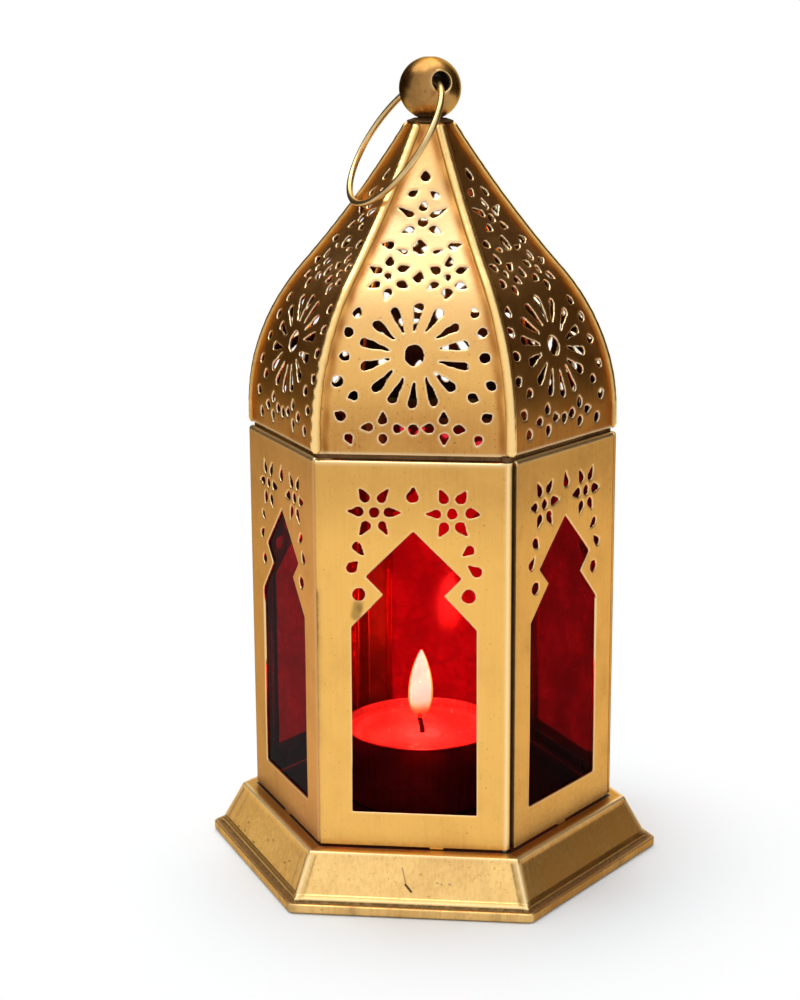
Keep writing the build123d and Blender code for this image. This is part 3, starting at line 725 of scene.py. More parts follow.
def build_cup_aluminium():
    """Drawn aluminium foil of the candle cup, with upright draw marks."""
    made, tree, shader = new_material("cup_aluminium")
    marks = noise(tree, vector(tree, "MULTIPLY", at_object(tree), (900, 900, 40)), 1.0, 3.0)
    colour = mix(tree, ramp(tree, marks, 0.35, 0.7), rgb(0.75, 0.72, 0.7), rgb(0.6, 0.57, 0.56))
    dress(tree, shader, colour, ramp(tree, marks, 0.3, 0.7, 0.34, 0.42), marks, 0.12, 0.0002)
    shader.inputs["Metallic"].default_value = 1.0
    return made


def build_wax():
    """Candle wax: milky, glossier where it has melted round the wick (the pool attribute), darker along the
    melt's edge and where the wick's foot shows through (the rings attribute).
    """
    made, tree, shader = new_material("wax")
    cloud = noise(tree, at_object(tree), 260.0, 4.0)
    colour = mix(tree, ramp(tree, cloud, 0.35, 0.7), rgb(0.86, 0.8, 0.72), rgb(0.75, 0.67, 0.58))
    colour = mix(tree, trait(tree, "rings"), colour, rgb(0.4, 0.2, 0.14))
    dress(tree, shader, colour, ramp(tree, trait(tree, "pool"), 0.0, 1.0, 0.55, 0.16), cloud, 0.15, 0.0004)
    shader.inputs["Subsurface Weight"].default_value = 0.6
    shader.inputs["Subsurface Radius"].default_value = (0.006, 0.004, 0.003)
    return made


def build_wick_cotton():
    """Braided cotton wick, charred towards its tip (the char attribute)."""
    made, tree, shader = new_material("wick_cotton")
    weave = {"Vector": at_object(tree), "Scale": 420.0, "Distortion": 3.0}
    plait = add_node(tree, "TexWave", weave, bands_direction="DIAGONAL").outputs["Fac"]
    cotton = mix(tree, plait, rgb(0.55, 0.5, 0.42), rgb(0.75, 0.7, 0.6))
    colour = mix(tree, trait(tree, "char"), cotton, rgb(0.012, 0.01, 0.01))
    dress(tree, shader, colour, ramp(tree, plait, 0.0, 1.0, 0.75, 0.95), plait, 0.5, 0.0003)
    return made


def build_flame_glow():
    """Candle flame: a white-hot body, red and thin round the wick (the burn attribute), in a thin orange
    sheath (the sheath attribute).
    """
    made, tree, shader = new_material("flame_glow")
    burn, sheath = trait(tree, "burn"), trait(tree, "sheath")
    colour = mix(tree, ramp(tree, burn, 0.1, 0.42), rgb(1.0, 0.25, 0.03), rgb(1.0, 0.95, 0.6))
    colour = mix(tree, sheath, colour, rgb(1.0, 0.38, 0.02))
    body = ramp(tree, burn, 0.08, 0.36, 0.02, 1.0)
    dense = calc(tree, "MULTIPLY", body, ramp(tree, sheath, 0.0, 1.0, 1.0, 0.45))
    tree.links.new(colour, shader.inputs["Emission Color"])
    tree.links.new(dense, shader.inputs["Alpha"])
    shader.inputs["Base Color"].default_value = rgb(0.9, 0.6, 0.3)
    shader.inputs["Emission Strength"].default_value = 56.0
    return made


pale_red, full_red = rgb(0.8, 0.028, 0.05), rgb(0.55, 0.016, 0.032)
clear_ruby = build_ruby_glass("clear_ruby", pale_red, full_red, 0.0, 1.05)
rear_ruby = build_ruby_glass("rear_ruby", pale_red, full_red, 0.12, 1.3)
# Darker copy of the ruby glass for the left and right panes: painted shade
shaded_ruby = build_ruby_glass("shaded_ruby", rgb(0.3, 0.016, 0.027), rgb(0.19, 0.01, 0.018), 0.0, 1.035)
steel = build_steel()
cup_aluminium = build_cup_aluminium()
candle_wax = build_wax()
wick_cotton = build_wick_cotton()
flame_glow = build_flame_glow()

# Plinth


def hexagon_round():
    """Once round a hexagon of unit reach: its points, their outward unit normals, and how far each point
    stands from its side's middle in shares of half a side. At a corner the point stays and the normal swings.
    """
    end = np.append(np.linspace(0.8, 0.995, 14), 1)
    straight = np.concatenate([-end[::-1], np.linspace(-0.75, 0.75, 19), end])
    swing = np.linspace(-corner, corner, 7)[1:-1]
    edge, normal, share = [], [], []
    for turn in np.radians(list(turns.values())):
        edge.append(outward(turn) + straight[:, None] * math.tan(corner) * along(turn))
        normal.append(np.broadcast_to(outward(turn), edge[-1].shape))
        share.append(np.abs(straight))
        at = turn + corner
        edge.append(np.broadcast_to(outward(at) / math.cos(corner), (len(swing), 3)))
        normal.append(np.array([outward(at + s) for s in swing]))
        share.append(np.ones(len(swing)))
    return np.concatenate(edge), np.concatenate(normal), np.concatenate(share)


def build_plinth():
    """Pressed plinth: a profile of (reach, height) carried round a hexagon, each corner rounded by adding a
    circle to the hexagon. Between its raised corner folds and ledge each skirt panel is pressed in a little.
    """
    skirt_low, skirt_high = np.array([skirt_reach, skirt_foot]), np.array([ledge_reach, base_top])
    slope = skirt_high - skirt_low
    hem = rounded_line(
        [
            (hem_reach, 0.0),
            (rim_reach, 0.0),
            (rim_reach, rim_height),
            (skirt_reach + 0.45, rim_height - 0.2),
            (skirt_reach + 0.15, skirt_foot + 0.15),
            skirt_low + slope * 0.07,
        ],
        [0.7, 0.35, 0.12, 0.2],
    )
    skirt = skirt_low + slope * np.clip(lines((0, 1, 0.04))[1:-1, None], 0.09, 0.94)
    crest = rounded_line([skirt_low + slope * 0.96, skirt_high, (ledge_reach - 1.2, base_top)], [0.5])
    past_wall = np.array([1.3, 0.8, 0.5, 0.35, 0.2, 0.05, -0.2, -1.0, -4.0, -9.0, -18.0, -27.0, -33.0])
    floor = np.stack([wall_reach + past_wall, np.full(len(past_wall), base_top)], -1)
    reach, height = np.concatenate([refined(hem, 0.2), skirt, crest, floor]).T
    edge, normal, share = hexagon_round()
    at_rim = smooth((reach - rim_reach + 1.2) / 0.8)
    corner_round = (skirt_corner + (rim_corner - skirt_corner) * at_rim)[:, None]
    from_corner = (1 - share[None]) * (reach[:, None] - corner_round) * math.tan(corner)
    climb = (height - skirt_foot) / (base_top - skirt_foot)
    below_crest = smooth((0.97 - climb) / 0.12)
    on_skirt = (smooth((climb - 0.02) / 0.05) * below_crest)[:, None]
    on_panel = (smooth((rim_reach - 1.0 - reach) / 0.3) * below_crest)[:, None]
    sink = panel_sink * smooth((from_corner - 0.25) / panel_border) * on_panel
    inner = reach[:, None] - corner_round - sink
    points = inner[..., None] * edge[None] + corner_round[..., None] * normal[None]
    points[..., 2] = height[:, None]

    crest_wear = 0.8 * hill(height - base_top + 0.1, 0.35) * (reach > ledge_reach - 0.7)
    rim_wear = 0.1 * hill(height - rim_height + 0.1, 0.4) * (reach > rim_reach - 0.7)
    # Painted highlight: a pale line along the skirt's foot, on front faces only
    foot_brightening = 0.75 * hill(height - skirt_foot - 0.2, 0.2) * (reach < skirt_reach + 0.25)
    foot_brightening = foot_brightening[:, None] * smooth((-normal[:, 1] - 0.6) / 0.3)
    fold_wear = 0.85 * hill(from_corner, 0.35) * on_skirt
    wear_and_highlight = np.maximum(np.maximum(crest_wear, rim_wear)[:, None], np.maximum(foot_brightening, fold_wear))
    # Painted shade: every face but the front is darker, the right side most
    side_shade = (0.5 + 0.25 * smooth(normal[:, 0] / 0.3)) * smooth((0.85 + normal[:, 1]) / 0.3)
    rim_patina = 0.12 * smooth((rim_height + 0.2 - height) / 0.2)
    patina_and_shade = np.maximum(side_shade[None], rim_patina[:, None])
    # Painted shade: darker in the shelf groove above the rim, under the plinth, near-black under the walls'
    # foot line and across the chamber floor (soot there as well), and a crease line beside each corner fold
    shelf_shade = smooth((rim_reach - 0.35 - reach) / 0.25) * smooth((skirt_foot - height) / 0.15) * (height > 1)
    under_shade = 0.6 * (height < 0.3)
    band = 0.1 * (reach > rim_reach - 0.1)
    soot_and_shade = smooth((wall_reach + 0.35 - reach) / 0.3)
    crease_shade = 0.6 * hill(from_corner - 1.1, 0.2)
    round_x, round_y = rim_reach * edge[:, 0], rim_reach * edge[:, 1]
    streaks = 0.35 * np.clip(wobble(round_x, round_y, 83, 3.2) - 0.2, 0, 1) * smooth((10 - from_corner) / 5)
    stains = 0.4 * np.clip(wobble(round_x, round_y, 86, 7.0) - 0.1, 0, 1)
    stains = stains * (reach > rim_reach - 0.4)[:, None]
    grime_and_shade = np.maximum((0.85 * shelf_shade + under_shade + band + soot_and_shade)[:, None], (crease_shade + streaks) * on_skirt)
    grime_and_shade = np.maximum(grime_and_shade, stains)

    rows, columns = points.shape[:2]
    flat = np.vstack([points.reshape(-1, 3), [0, 0, base_top]])
    first = (rows - 1) * columns
    j = np.arange(columns)
    fan = np.stack([first + j, first + (j + 1) % columns, np.full(columns, len(flat) - 1)], -1)
    faces = [grid_faces(rows, columns, close_columns=True), fan]
    traits = {"wear_and_highlight": np.append(wear_and_highlight, 0), "grime_and_shade": np.append(grime_and_shade, 0), "patina_and_shade": np.append(patina_and_shade, 0)}
    finish = ("plinth_brass", plinth_brass, traits, plinth_sheet)
    make_piece("plinth_pan", flat, faces, "lantern", ["base_plinth"], *finish)


build_plinth()

# Walls and door

window = [(0, 85.6), (10.3, 75.4), (6.5, 71.4), (13.65, 63.8), (13.8, 21.0)]
window_outline = window + [(-x, z) for x, z in reversed(window[1:])]
rosette = (8.57, 89.9)
rosette_radius = 4.2
petal = (3.5, 2.15)
crown_drop = ((0, 94.0), 3.6, 2.4, 0)
side_drops = [((11.9, 81.6), 3.1, 2.0, 128), ((13.4, 77.4), 3.2, 2.2, 40)]
spot = ((12.05, 71.3), 2.75)


def wall_holes(x, z, seed):
    """Distance to a wall's piercings: the window, two rosettes of six drops round an eye, drops and spots."""
    drops = [crown_drop]
    for side in (-1, 1):
        place = np.array([side * rosette[0], rosette[1]])
        for a in range(0, 360, 60):
            reach = rosette_radius * np.array([math.cos(math.radians(a)), math.sin(math.radians(a))])
            drops.append((place + reach, *petal, a - 90))
        drops.append((place, 2.3, 2.2, 0))
        drops += [((side * p[0], p[1]), length, width, side * turn) for p, length, width, turn in side_drops]
        drops.append(((side * spot[0][0], spot[0][1]), spot[1] * 1.02, spot[1], 0))
    field = nearest_hole(x, z, drops, seed)
    return np.minimum(field, outline_hole(x, z, window_outline, 0.12))


def build_wall(name, turn, stretches, start_x, top, tab_x, tab_foot, back, skin, body, nodes, seed):
    """A pierced wall: a flat pattern of (x, z) clipped at its holes, then bent. Its plan is a bent line, its
    top edge rolls inwards by a quarter circle and runs back flat, and near a cut the sheet dips in by the
    square of the nearness.
    """
    is_door = body == "door"
    flat_length, bend_length = stretches[0][0], stretches[1][0]
    full = sum(length for length, bend in stretches)
    bend_end = flat_length + bend_length
    u = lines((0, flat_length, cut_step), (flat_length, bend_end, bend_step), (bend_end, full, 0.6))
    roll_length = top_roll * math.pi / 2
    rise = top - wall_foot
    flat_rise = rise - top_roll
    roll_end = flat_rise + roll_length
    sill_low, sill_high, holes_low, holes_high = 6.5, 9.5, 49, 86
    v = lines(
        (tab_foot - wall_foot, -0.02, 0.3),
        (-0.02, 0, 0.02),
        (0, sill_low, 1.3),
        (sill_low, sill_high, 0.3),
        (sill_high, holes_low, 4.0),
        (holes_low, holes_high, cut_step),
        (holes_high, flat_rise, 0.5),
        (flat_rise, roll_end, 0.16),
        (roll_end, roll_end + back, 0.5),
    )
    forward, inward, heading = bent_line(u, stretches)
    lift, tuck, _ = bent_line(np.maximum(v, 0), [(flat_rise, 0), (roll_length, math.pi / 2), (back, 0)])
    lift = np.where(v < 0, v, lift)
    u_grid, v_grid = np.meshgrid(u, v)
    x_flat = u_grid + start_x
    field = wall_holes(x_flat, v_grid + wall_foot, seed)
    field = np.where(x_flat > half_wall - 3.0, 5.0, field)
    tab = np.minimum(tab_width / 2 - np.abs(x_flat - tab_x), 1.0)
    field = np.where(v_grid < 0, tab, field)
    return_end = hinge_side_return if is_door else half_return
    on_return = np.minimum(return_end - x_flat, half_return + x_flat)
    field = np.where(v_grid > rise + 0.5, np.minimum(field, on_return), field)
    flat, near, faces = clip_sheet(u_grid, v_grid, field)

    at_u, at_v = flat.T
    swing = np.interp(at_u, u, heading)
    keep_roll = smooth((flat_length - at_u - 0.3) / 1.5) if is_door else 1.0
    dip = cut_roll * np.clip(1 - near / cut_roll_width, 0, 1) ** 2
    dent = 0.05 * wobble(at_u, at_v, seed + 5, 30.0) * smooth(at_u / 6) * smooth((flat_length - at_u) / 6)
    depth = np.interp(at_v, v, tuck) * keep_roll + np.where(at_v < 0, 0, dip) + dent + 0.05
    side_x = start_x + np.interp(at_u, u, forward) - np.sin(swing) * depth
    side_out = wall_reach - np.interp(at_u, u, inward) - np.cos(swing) * depth
    points = side_out[:, None] * outward(turn) + side_x[:, None] * along(turn)
    points[:, 2] = wall_foot + np.interp(at_v, v, lift)

    past_flat = at_u - flat_length
    # Worn edges and painted highlight: pale rims round every cut
    cut_wear_and_highlight = 0.75 * hill(near, 0.22) * (at_v > 0)
    top_wear = 0.9 * hill(at_v - rise, 0.7)
    # Painted shade along the wall's foot, where it meets the ledge
    foot_darkening = 0.35 * np.exp(-at_v / 1.2) * (at_v >= 0)
    # Darker towards the top
    top_darkening = 0.06 * smooth((at_v - rise + 24) / 22)
    if is_door:
        bend_wear = 0.8 * hill(past_flat - knuckle_radius * 0.35, 0.5)
        # Painted shade: the roll's far side, seen through the hinge gap, is near-black
        side_darkening = 0.95 * smooth((past_flat - knuckle_radius) / 0.5)
        worst = smooth((at_v - 46) / 1.5) * smooth((60 - at_v) / 1.5)
        below = smooth((at_v - 20) / 8) * smooth((47 - at_v) / 1.5)
        edge_soil = 0.15 + 0.8 * worst + 0.35 * below
    else:
        bend_wear = 0.1 * hill(past_flat - bend_length * 0.4, 0.45)
        # Darker towards the wall's foot
        side_darkening = 0.06 + 0.2 * np.exp(-np.maximum(at_v, 0) / 10)
        edge_soil = 0.15
    # Painted shade: the wall sheets grow darker towards the lantern's left side
    left_shade = 0.6 * smooth((-points[:, 0] - 26) / 12)
    traits = {
        "wear_and_highlight": np.clip(np.maximum(np.maximum(cut_wear_and_highlight, top_wear), bend_wear), 0, 1),
        "grime_and_shade": np.clip(foot_darkening + side_darkening + top_darkening + edge_soil * np.exp(-at_u / 0.4), 0, 0.95),
        # Darker towards the top, and painted shade on the left side
        "patina_and_shade": np.maximum(0.35 * smooth((at_v - rise + 20) / 16), left_shade),
    }
    make_piece(name, points, faces, body, nodes, "wall_brass", skin, traits, wall_sheet, inside=smoked_brass)


def build_walls():
    """Five fixed walls, each with a flange bent behind its neighbour, and the door, rolled round its pin."""
    tangent = bend_radius * math.tan(corner)
    fold = half_wall - lap_inset / math.sin(2 * corner)
    roll = math.radians(300)
    for i, (name, turn) in enumerate(turns.items()):
        seed = 40 + 10 * i
        start = (hinge_gap if name == "right" else seam_gap) - half_wall
        if name == "front":
            stretches = [(hinge_x - start, 0), (knuckle_radius * roll, roll)]
            ends = (start, door_high[2], tongue_x, door_low[2], door_return)
            build_wall("door_sheet", 0.0, stretches, *ends, door_brass, "door", ["door_panel"], seed)
            continue
        stretches = [(fold - tangent - start, 0), (bend_radius * 2 * corner, 2 * corner), (lap_flange, 0)]
        ends = (start, wall_top, 0.0, base_top + 0.02, top_return)
        # The left wall takes the darker copy as painted shade
        skin = shaded_wall_brass if name == "left" else wall_brass
        sheet = "wall_sheet_" + name
        build_wall(sheet, math.radians(turn), stretches, *ends, skin, "lantern", ["wall_" + name], seed)


build_walls()


def build_hinge_return():
    """Edge of the right wall folded in behind the hinge: a strip that runs from the wall straight inwards,
    over the wall's height. Its near-black finish is painted shade in the hinge gap.
    """
    depth, height = np.meshgrid(np.linspace(0.2, 2.6, 7), np.linspace(wall_foot + 0.1, wall_top - 1.2, 40))
    turn = math.radians(turns["right"])
    fold_x = hinge_gap + 0.4 - half_wall
    points = (wall_reach - depth)[..., None] * outward(turn) + fold_x * along(turn)
    points[..., 2] = height
    points, faces = points.reshape(-1, 3), [grid_faces(*depth.shape)]
    # Painted shade: the strip is dark all over, a little uneven
    darkening = np.clip(0.4 + 0.3 * wobble(depth, height, 71, 6.0), 0, 1).ravel()
    traits = {"wear_and_highlight": 0.0 * darkening, "grime_and_shade": darkening}
    make_piece("hinge_edge_return", points, faces, "lantern", [], "wall_brass", soot_and_shade_brass, traits, 0.5)


build_hinge_return()

# Dome

draw_in = dome_reach - dome_mouth
climb = dome_top - dome_foot - dome_straight
dome_lean = math.atan2(draw_in, climb)
flank_tilt = 1.427 * dome_lean
top_tilt = flank_tilt - 0.342 * dome_lean
shoulder_in, shoulder_up = 1 - math.cos(flank_tilt), math.sin(flank_tilt)
crown_in, crown_up = math.cos(top_tilt) - math.cos(flank_tilt), math.sin(flank_tilt) - math.sin(top_tilt)
curve_scale = shoulder_in * crown_up - shoulder_up * crown_in
shoulder_radius = (draw_in * crown_up - climb * crown_in) / curve_scale
crown_radius = (climb * shoulder_in - draw_in * shoulder_up) / curve_scale
shoulder_length = shoulder_radius * flank_tilt
crown_length = crown_radius * (flank_tilt - top_tilt)
gore_length = dome_straight + shoulder_length + crown_length
curve_steps = np.linspace(0, gore_length, 1600)
curve_up, curve_in, curve_tilt = bent_line(
    curve_steps, [(dome_straight, 0), (shoulder_length, flank_tilt), (crown_length, top_tilt - flank_tilt)]
)


def dome_curve(length):
    """Reach, height and tilt of the dome's curve at a length along it: upright, leaning in, then back."""
    return (
        dome_reach - np.interp(length, curve_steps, curve_in),
        dome_foot + np.interp(length, curve_steps, curve_up),
        np.interp(length, curve_steps, curve_tilt),
    )


def up_the_gore(height):
    """Length along the dome's curve at a height."""
    return float(np.interp(height - dome_foot, curve_up, curve_steps))


# Gore piercings as (x, height, length, width, turn of the tip); those in pairs are mirrored
lone_drops = [
    (0, 160.3, 2.9, 2.0, 0),
    (0, 153.9, 2.8, 1.9, 0),
    (0, 150.7, 2.3, 2.2, 0),
    (0, 145.6, 3.6, 3.0, 0),
    (0, 139.5, 3.0, 2.2, 0),
    (0, 107.7, 2.4, 2.2, 180),
]
paired_drops = [
    (2.43, 156.5, 2.7, 1.6, 45),
    (3.65, 152.6, 3.9, 1.7, -63),
    (3.1, 149.0, 2.7, 1.7, -110),
    (7.4, 145.8, 2.8, 1.9, -80),
    (3.9, 144.5, 2.5, 1.1, -75),
    (12.66, 132.4, 2.5, 2.0, 20),
    (14.4, 128.4, 2.5, 2.1, -40),
    (15.2, 123.3, 2.5, 2.1, -80),
    (16.4, 117.9, 2.5, 2.1, 60),
    (13.0, 114.8, 2.6, 2.1, -120),
    (15.8, 110.8, 2.5, 2.1, -60),
    (13.9, 105.9, 2.4, 2.0, 170),
]
star = (6.4, 139.4, 3.6)
star_petal = (2.7, 1.9)
sun_height = 123.65
sun_eye = 2.2
sun_rays = 14
ray = (5.35, 11.7, 2.0)
foot_flower = (6.55, 108.3, 3.4, 2.3)


def gore_holes(x, s, seed):
    """Distance to a gore's piercings, laid out on the flattened gore: a sunburst of rays round an eye, two
    stars, two foot flowers, and the drops above, between and beside them.
    """
    drops = []
    for px, height, length, width, turn in lone_drops:
        drops.append(((px, up_the_gore(height)), length, width, turn))
    for side in (-1, 1):
        for px, height, length, width, turn in paired_drops:
            drops.append(((side * px, up_the_gore(height)), length, width, side * turn))
        middle = np.array([side * star[0], up_the_gore(star[1])])
        drops.append((middle, 2.0, 1.5, 180))
        for a in range(30, 390, 60):
            reach = star[2] * np.array([math.cos(math.radians(a)), math.sin(math.radians(a)) * 1.12])
            drops.append((middle + reach, *star_petal, a - 90))
        middle = np.array([side * foot_flower[0], up_the_gore(foot_flower[1])])
        for a in range(0, 360, 90):
            way = np.array([math.cos(math.radians(a)), math.sin(math.radians(a))])
            drops.append((middle + way * foot_flower[2:], 2.7, 2.0, a - 90))
    sun = np.array([0, up_the_gore(sun_height)])
    drops.append((sun, 2 * sun_eye, 1.98 * sun_eye, 0))
    inner, outer, width = ray
    for i in range(sun_rays):
        a = 2 * math.pi * i / sun_rays
        way = np.array([math.sin(a), -math.cos(a)])
        drops.append((sun + way * (inner + outer) / 2, outer - inner, width, math.degrees(a)))
    return nearest_hole(x, s, drops, seed)


def build_gores():
    """Six pierced gores: a flat pattern of (x, length along the dome's curve), clipped at its holes and its
    two corner lines, then laid on the curve. Towards a corner the sheet rises to the rib by the square of the
    nearness.
    """
    half_gore = dome_reach * math.tan(corner)
    x_grid, s_grid = np.meshgrid(lines((-half_gore, half_gore, cut_step)), lines((0, gore_length, gore_step)))
    edge = dome_curve(s_grid)[0] * math.tan(corner) - 0.06 - np.abs(x_grid)
    for i, (name, turn) in enumerate(turns.items()):
        seed = 200 + 10 * i
        holes = gore_holes(x_grid, s_grid, seed)
        holes = np.where(edge < 2.6, np.maximum(holes, 0.8), holes)
        flat, near_any, faces = clip_sheet(x_grid, s_grid, np.minimum(holes, edge))
        at_x, at_s = flat.T
        reach, height, tilt = dome_curve(at_s)
        half_width = reach * math.tan(corner)
        from_edge = np.maximum(half_width - np.abs(at_x), 0)
        hole = np.where(near_any < from_edge - 0.2, near_any, 3.0)
        dip = cut_roll * np.clip(1 - hole / cut_roll_width, 0, 1) ** 2
        seam = seam_rise * np.clip(1 - from_edge / np.minimum(seam_band, half_width * 0.5), 0, 1) ** 2
        dent = 0.07 * wobble(at_x, at_s, seed + 5, 26.0) * smooth(from_edge / 6)
        lift = seam - dip + dent - 0.05
        angle = math.radians(turn)
        points = (reach + lift * np.cos(tilt))[:, None] * outward(angle) + at_x[:, None] * along(angle)
        points[:, 2] = np.maximum(height + lift * np.sin(tilt), dome_foot)

        # Painted highlight: a broad pale patch up the front gore, faint on the others; the gores other than
        # the front are painted darker as shade
        highlight_share, side_shade_share = (0.42, 0.0) if name == "front" else (0.12, 0.45)
        # Worn edges and painted highlight on the hole rims; a pale line along the foot edge
        cut_wear_and_highlight, foot_brightening = 0.8 * hill(hole, 0.24), 0.7 * hill(at_s, 0.4)
        painted_highlight = highlight_share * hill(at_s - 0.65 * gore_length, 0.27 * gore_length)
        painted_highlight = painted_highlight * smooth((from_edge - 1.5) / 2.5)
        blotchy = np.clip(0.55 + 0.6 * wobble(at_x, at_s, seed + 8, 5.0), 0, 1)
        # Painted shade beside each rib: a dark line at the seam and a wider dark band inside it
        seam_line_shade = 0.35 * hill(from_edge - 1.6, 0.5) * blotchy
        # Darker towards the dome's foot
        foot_darkening = 0.15 * smooth((17 - at_s) / 14) * (0.8 + 0.2 * blotchy)
        seam_band_shade = hill(from_edge - 2.2, 1.0) * (0.5 + 0.5 * blotchy)
        traits = {
            "wear_and_highlight": np.clip(np.maximum(np.maximum(cut_wear_and_highlight, foot_brightening), painted_highlight), 0, 1),
            "grime_and_shade": np.clip(np.maximum(seam_line_shade, foot_darkening), 0, 1),
            "patina_and_shade": np.maximum(side_shade_share + 0.4 * smooth((20 - at_s) / 16), seam_band_shade),
        }
        sheet, nodes = "gore_sheet_" + name, ["dome_gore_" + name]
        finish = ("dome_brass", dome_brass, traits, dome_sheet)
        make_piece(sheet, points, faces, "lantern", nodes, *finish, inside=soot_and_shade_brass)


build_gores()


def build_ribs():
    """Six beads over the dome's seams: an oval section carried up the corner curve, uneven with solder."""
    s = np.linspace(0.0, gore_length, 240)
    around = np.linspace(0, 2 * math.pi, 20, endpoint=False)
    reach, height, tilt = dome_curve(s)
    corner_tilt = np.arctan(np.tan(tilt) / math.cos(corner))
    close = smooth(s / 0.8) * smooth((gore_length - s) / 1.0)
    crest_wear = 0.85 * smooth((np.sin(around) - 0.45) / 0.4)
    # Painted shade: a dark line along the bead's flanks, where it meets the gores
    groove_shade = 0.45 * hill(np.sin(around) - 0.05, 0.28)
    for i, (name, turn) in enumerate(rib_turns.items()):
        lumps = wobble(s, s * 0, 300 + i, 3.0) * 0.025 + wobble(s, s * 0, 320 + i, 9.0) * 0.05
        if name == "front_left":
            lumps = lumps + 0.16 * wobble(s, s * 0, 341, 4.5) * smooth((34 - s) / 12)
        half_width = (rib_half_width + lumps * 0.8) * (0.55 + 0.45 * close)
        high = (rib_lift + lumps) * (0.45 + 0.55 * close)
        side = half_width[:, None] * np.cos(around)
        lift = high[:, None] * np.sin(around) - 0.05
        angle = math.radians(turn)
        out = reach[:, None] / math.cos(corner) + lift * np.cos(corner_tilt)[:, None]
        rings = out[..., None] * outward(angle) + side[..., None] * along(angle)
        rings[..., 2] = np.clip(height[:, None] + lift * np.sin(corner_tilt)[:, None], dome_foot, dome_top)
        points, faces = capped_tube(rings)
        traits = {
            "wear_and_highlight": np.append(np.broadcast_to(crest_wear, side.shape), [0, 0]),
            "grime_and_shade": np.append(np.broadcast_to(groove_shade, side.shape), [0, 0]),
        }
        rib, nodes = "seam_rib_" + name, ["dome_rib_" + name]
        make_piece(rib, points, faces, "lantern", nodes, "rib_brass", rib_brass, traits)


build_ribs()

# Finial


def build_ball():
    """Drilled ball. In each half plane through the hole's axis the ball's outline is part of a circle. The
    surface follows it from one mouth of the hole to the other and returns along the hole's wall, so it closes
    on itself.
    """
    rise = hole_place[2] - ball_centre[2]
    a = np.linspace(0, 2 * math.pi, 64, endpoint=False)[None, :]
    t = np.linspace(1, -1, 49)[:, None]
    circle = np.sqrt(ball_radius**2 - (rise * np.sin(a)) ** 2)
    mouth = np.arccos((hole_radius + rise * np.cos(a)) / circle)
    deep = np.linspace(-1, 1, 15)[1:-1, None] * circle * np.sin(mouth)
    over = np.concatenate([circle * np.sin(t * mouth), deep])
    off = circle * np.cos(t * mouth) - rise * np.cos(a)
    off = np.concatenate([off, np.broadcast_to(hole_radius, deep.shape)])
    upright = np.array([0, 0, 1.0])
    ray_way = np.cos(a)[..., None] * upright + np.sin(a)[..., None] * np.cross(hole_axis, upright)
    points = hole_place + over[..., None] * hole_axis + off[..., None] * ray_way
    points[..., 2] = np.clip(points[..., 2], cap_high[2], ball_high[2])
    lip_wear = 0.54 * hill(np.abs(t) - 1, 0.05) * np.ones_like(a)
    # Painted shade: darker at the ball's foot on the cap and near-black inside the bore
    darkening = 0.7 * hill(points[..., 2] - cap_high[2], 0.5)
    darkening[len(t):] = 1.0
    from_centre = (points - ball_centre) / ball_radius
    # Painted shade: the upper left side of the ball is darker
    shaded_side = 0.7 * smooth(0.5 * from_centre[..., 2] - 0.8 * from_centre[..., 0] + 0.3)
    wear_and_highlight = np.concatenate([lip_wear, 0.0 * deep])
    traits = {"wear_and_highlight": wear_and_highlight.ravel(), "grime_and_shade": darkening.ravel(), "patina_and_shade": shaded_side.ravel()}
    points, faces = points.reshape(-1, 3), [grid_faces(*over.shape, close_rows=True, close_columns=True)]
    nodes = ["finial_ball"]
    piece = make_piece("drilled_ball", points, faces, "lantern", nodes, "fitting_brass", ball_brass, traits)
    lip_round = piece.modifiers.new("lip", "BEVEL")
    lip_round.width = 0.3 * MM
    lip_round.segments = 3
    lip_round.limit_method = "ANGLE"
    lip_round.angle_limit = math.radians(40)


def build_cap():
    """Hexagonal cap: a profile of (reach, height) carried round a hexagon with softened corners."""
    rim, bore, corner_round = (cap_high[1] - cap_low[1]) / 2 - 0.5, 1.6, 0.5
    low, high = cap_low[2], cap_high[2]
    outline = [(bore, low), (rim, low), (rim - 0.1, low + 0.45), (ball_seat + 0.6, high), (bore, high)]
    reach, height = rounded_line(outline, [0.15, 0.15, 0.3], 4).T
    edge, normal, _ = hexagon_round()
    points = (reach[:, None, None] - corner_round) * edge[None] + corner_round * normal[None]
    points[..., 2] = height[:, None]
    crest = np.repeat(hill(reach - rim, 0.3) * (height > low + 0.3), len(edge))
    points, faces = points.reshape(-1, 3), [grid_faces(len(reach), len(edge), True, True)]
    # Painted shade: the cap is near-black apart from its rim
    traits = {"wear_and_highlight": 0.25 * crest, "grime_and_shade": 0.85 - 0.5 * crest}
    finish = ("fitting_brass", soot_and_shade_brass, traits)
    make_piece("dome_crown_cap", points, faces, "lantern", ["dome_cap"], *finish, sharp=50)


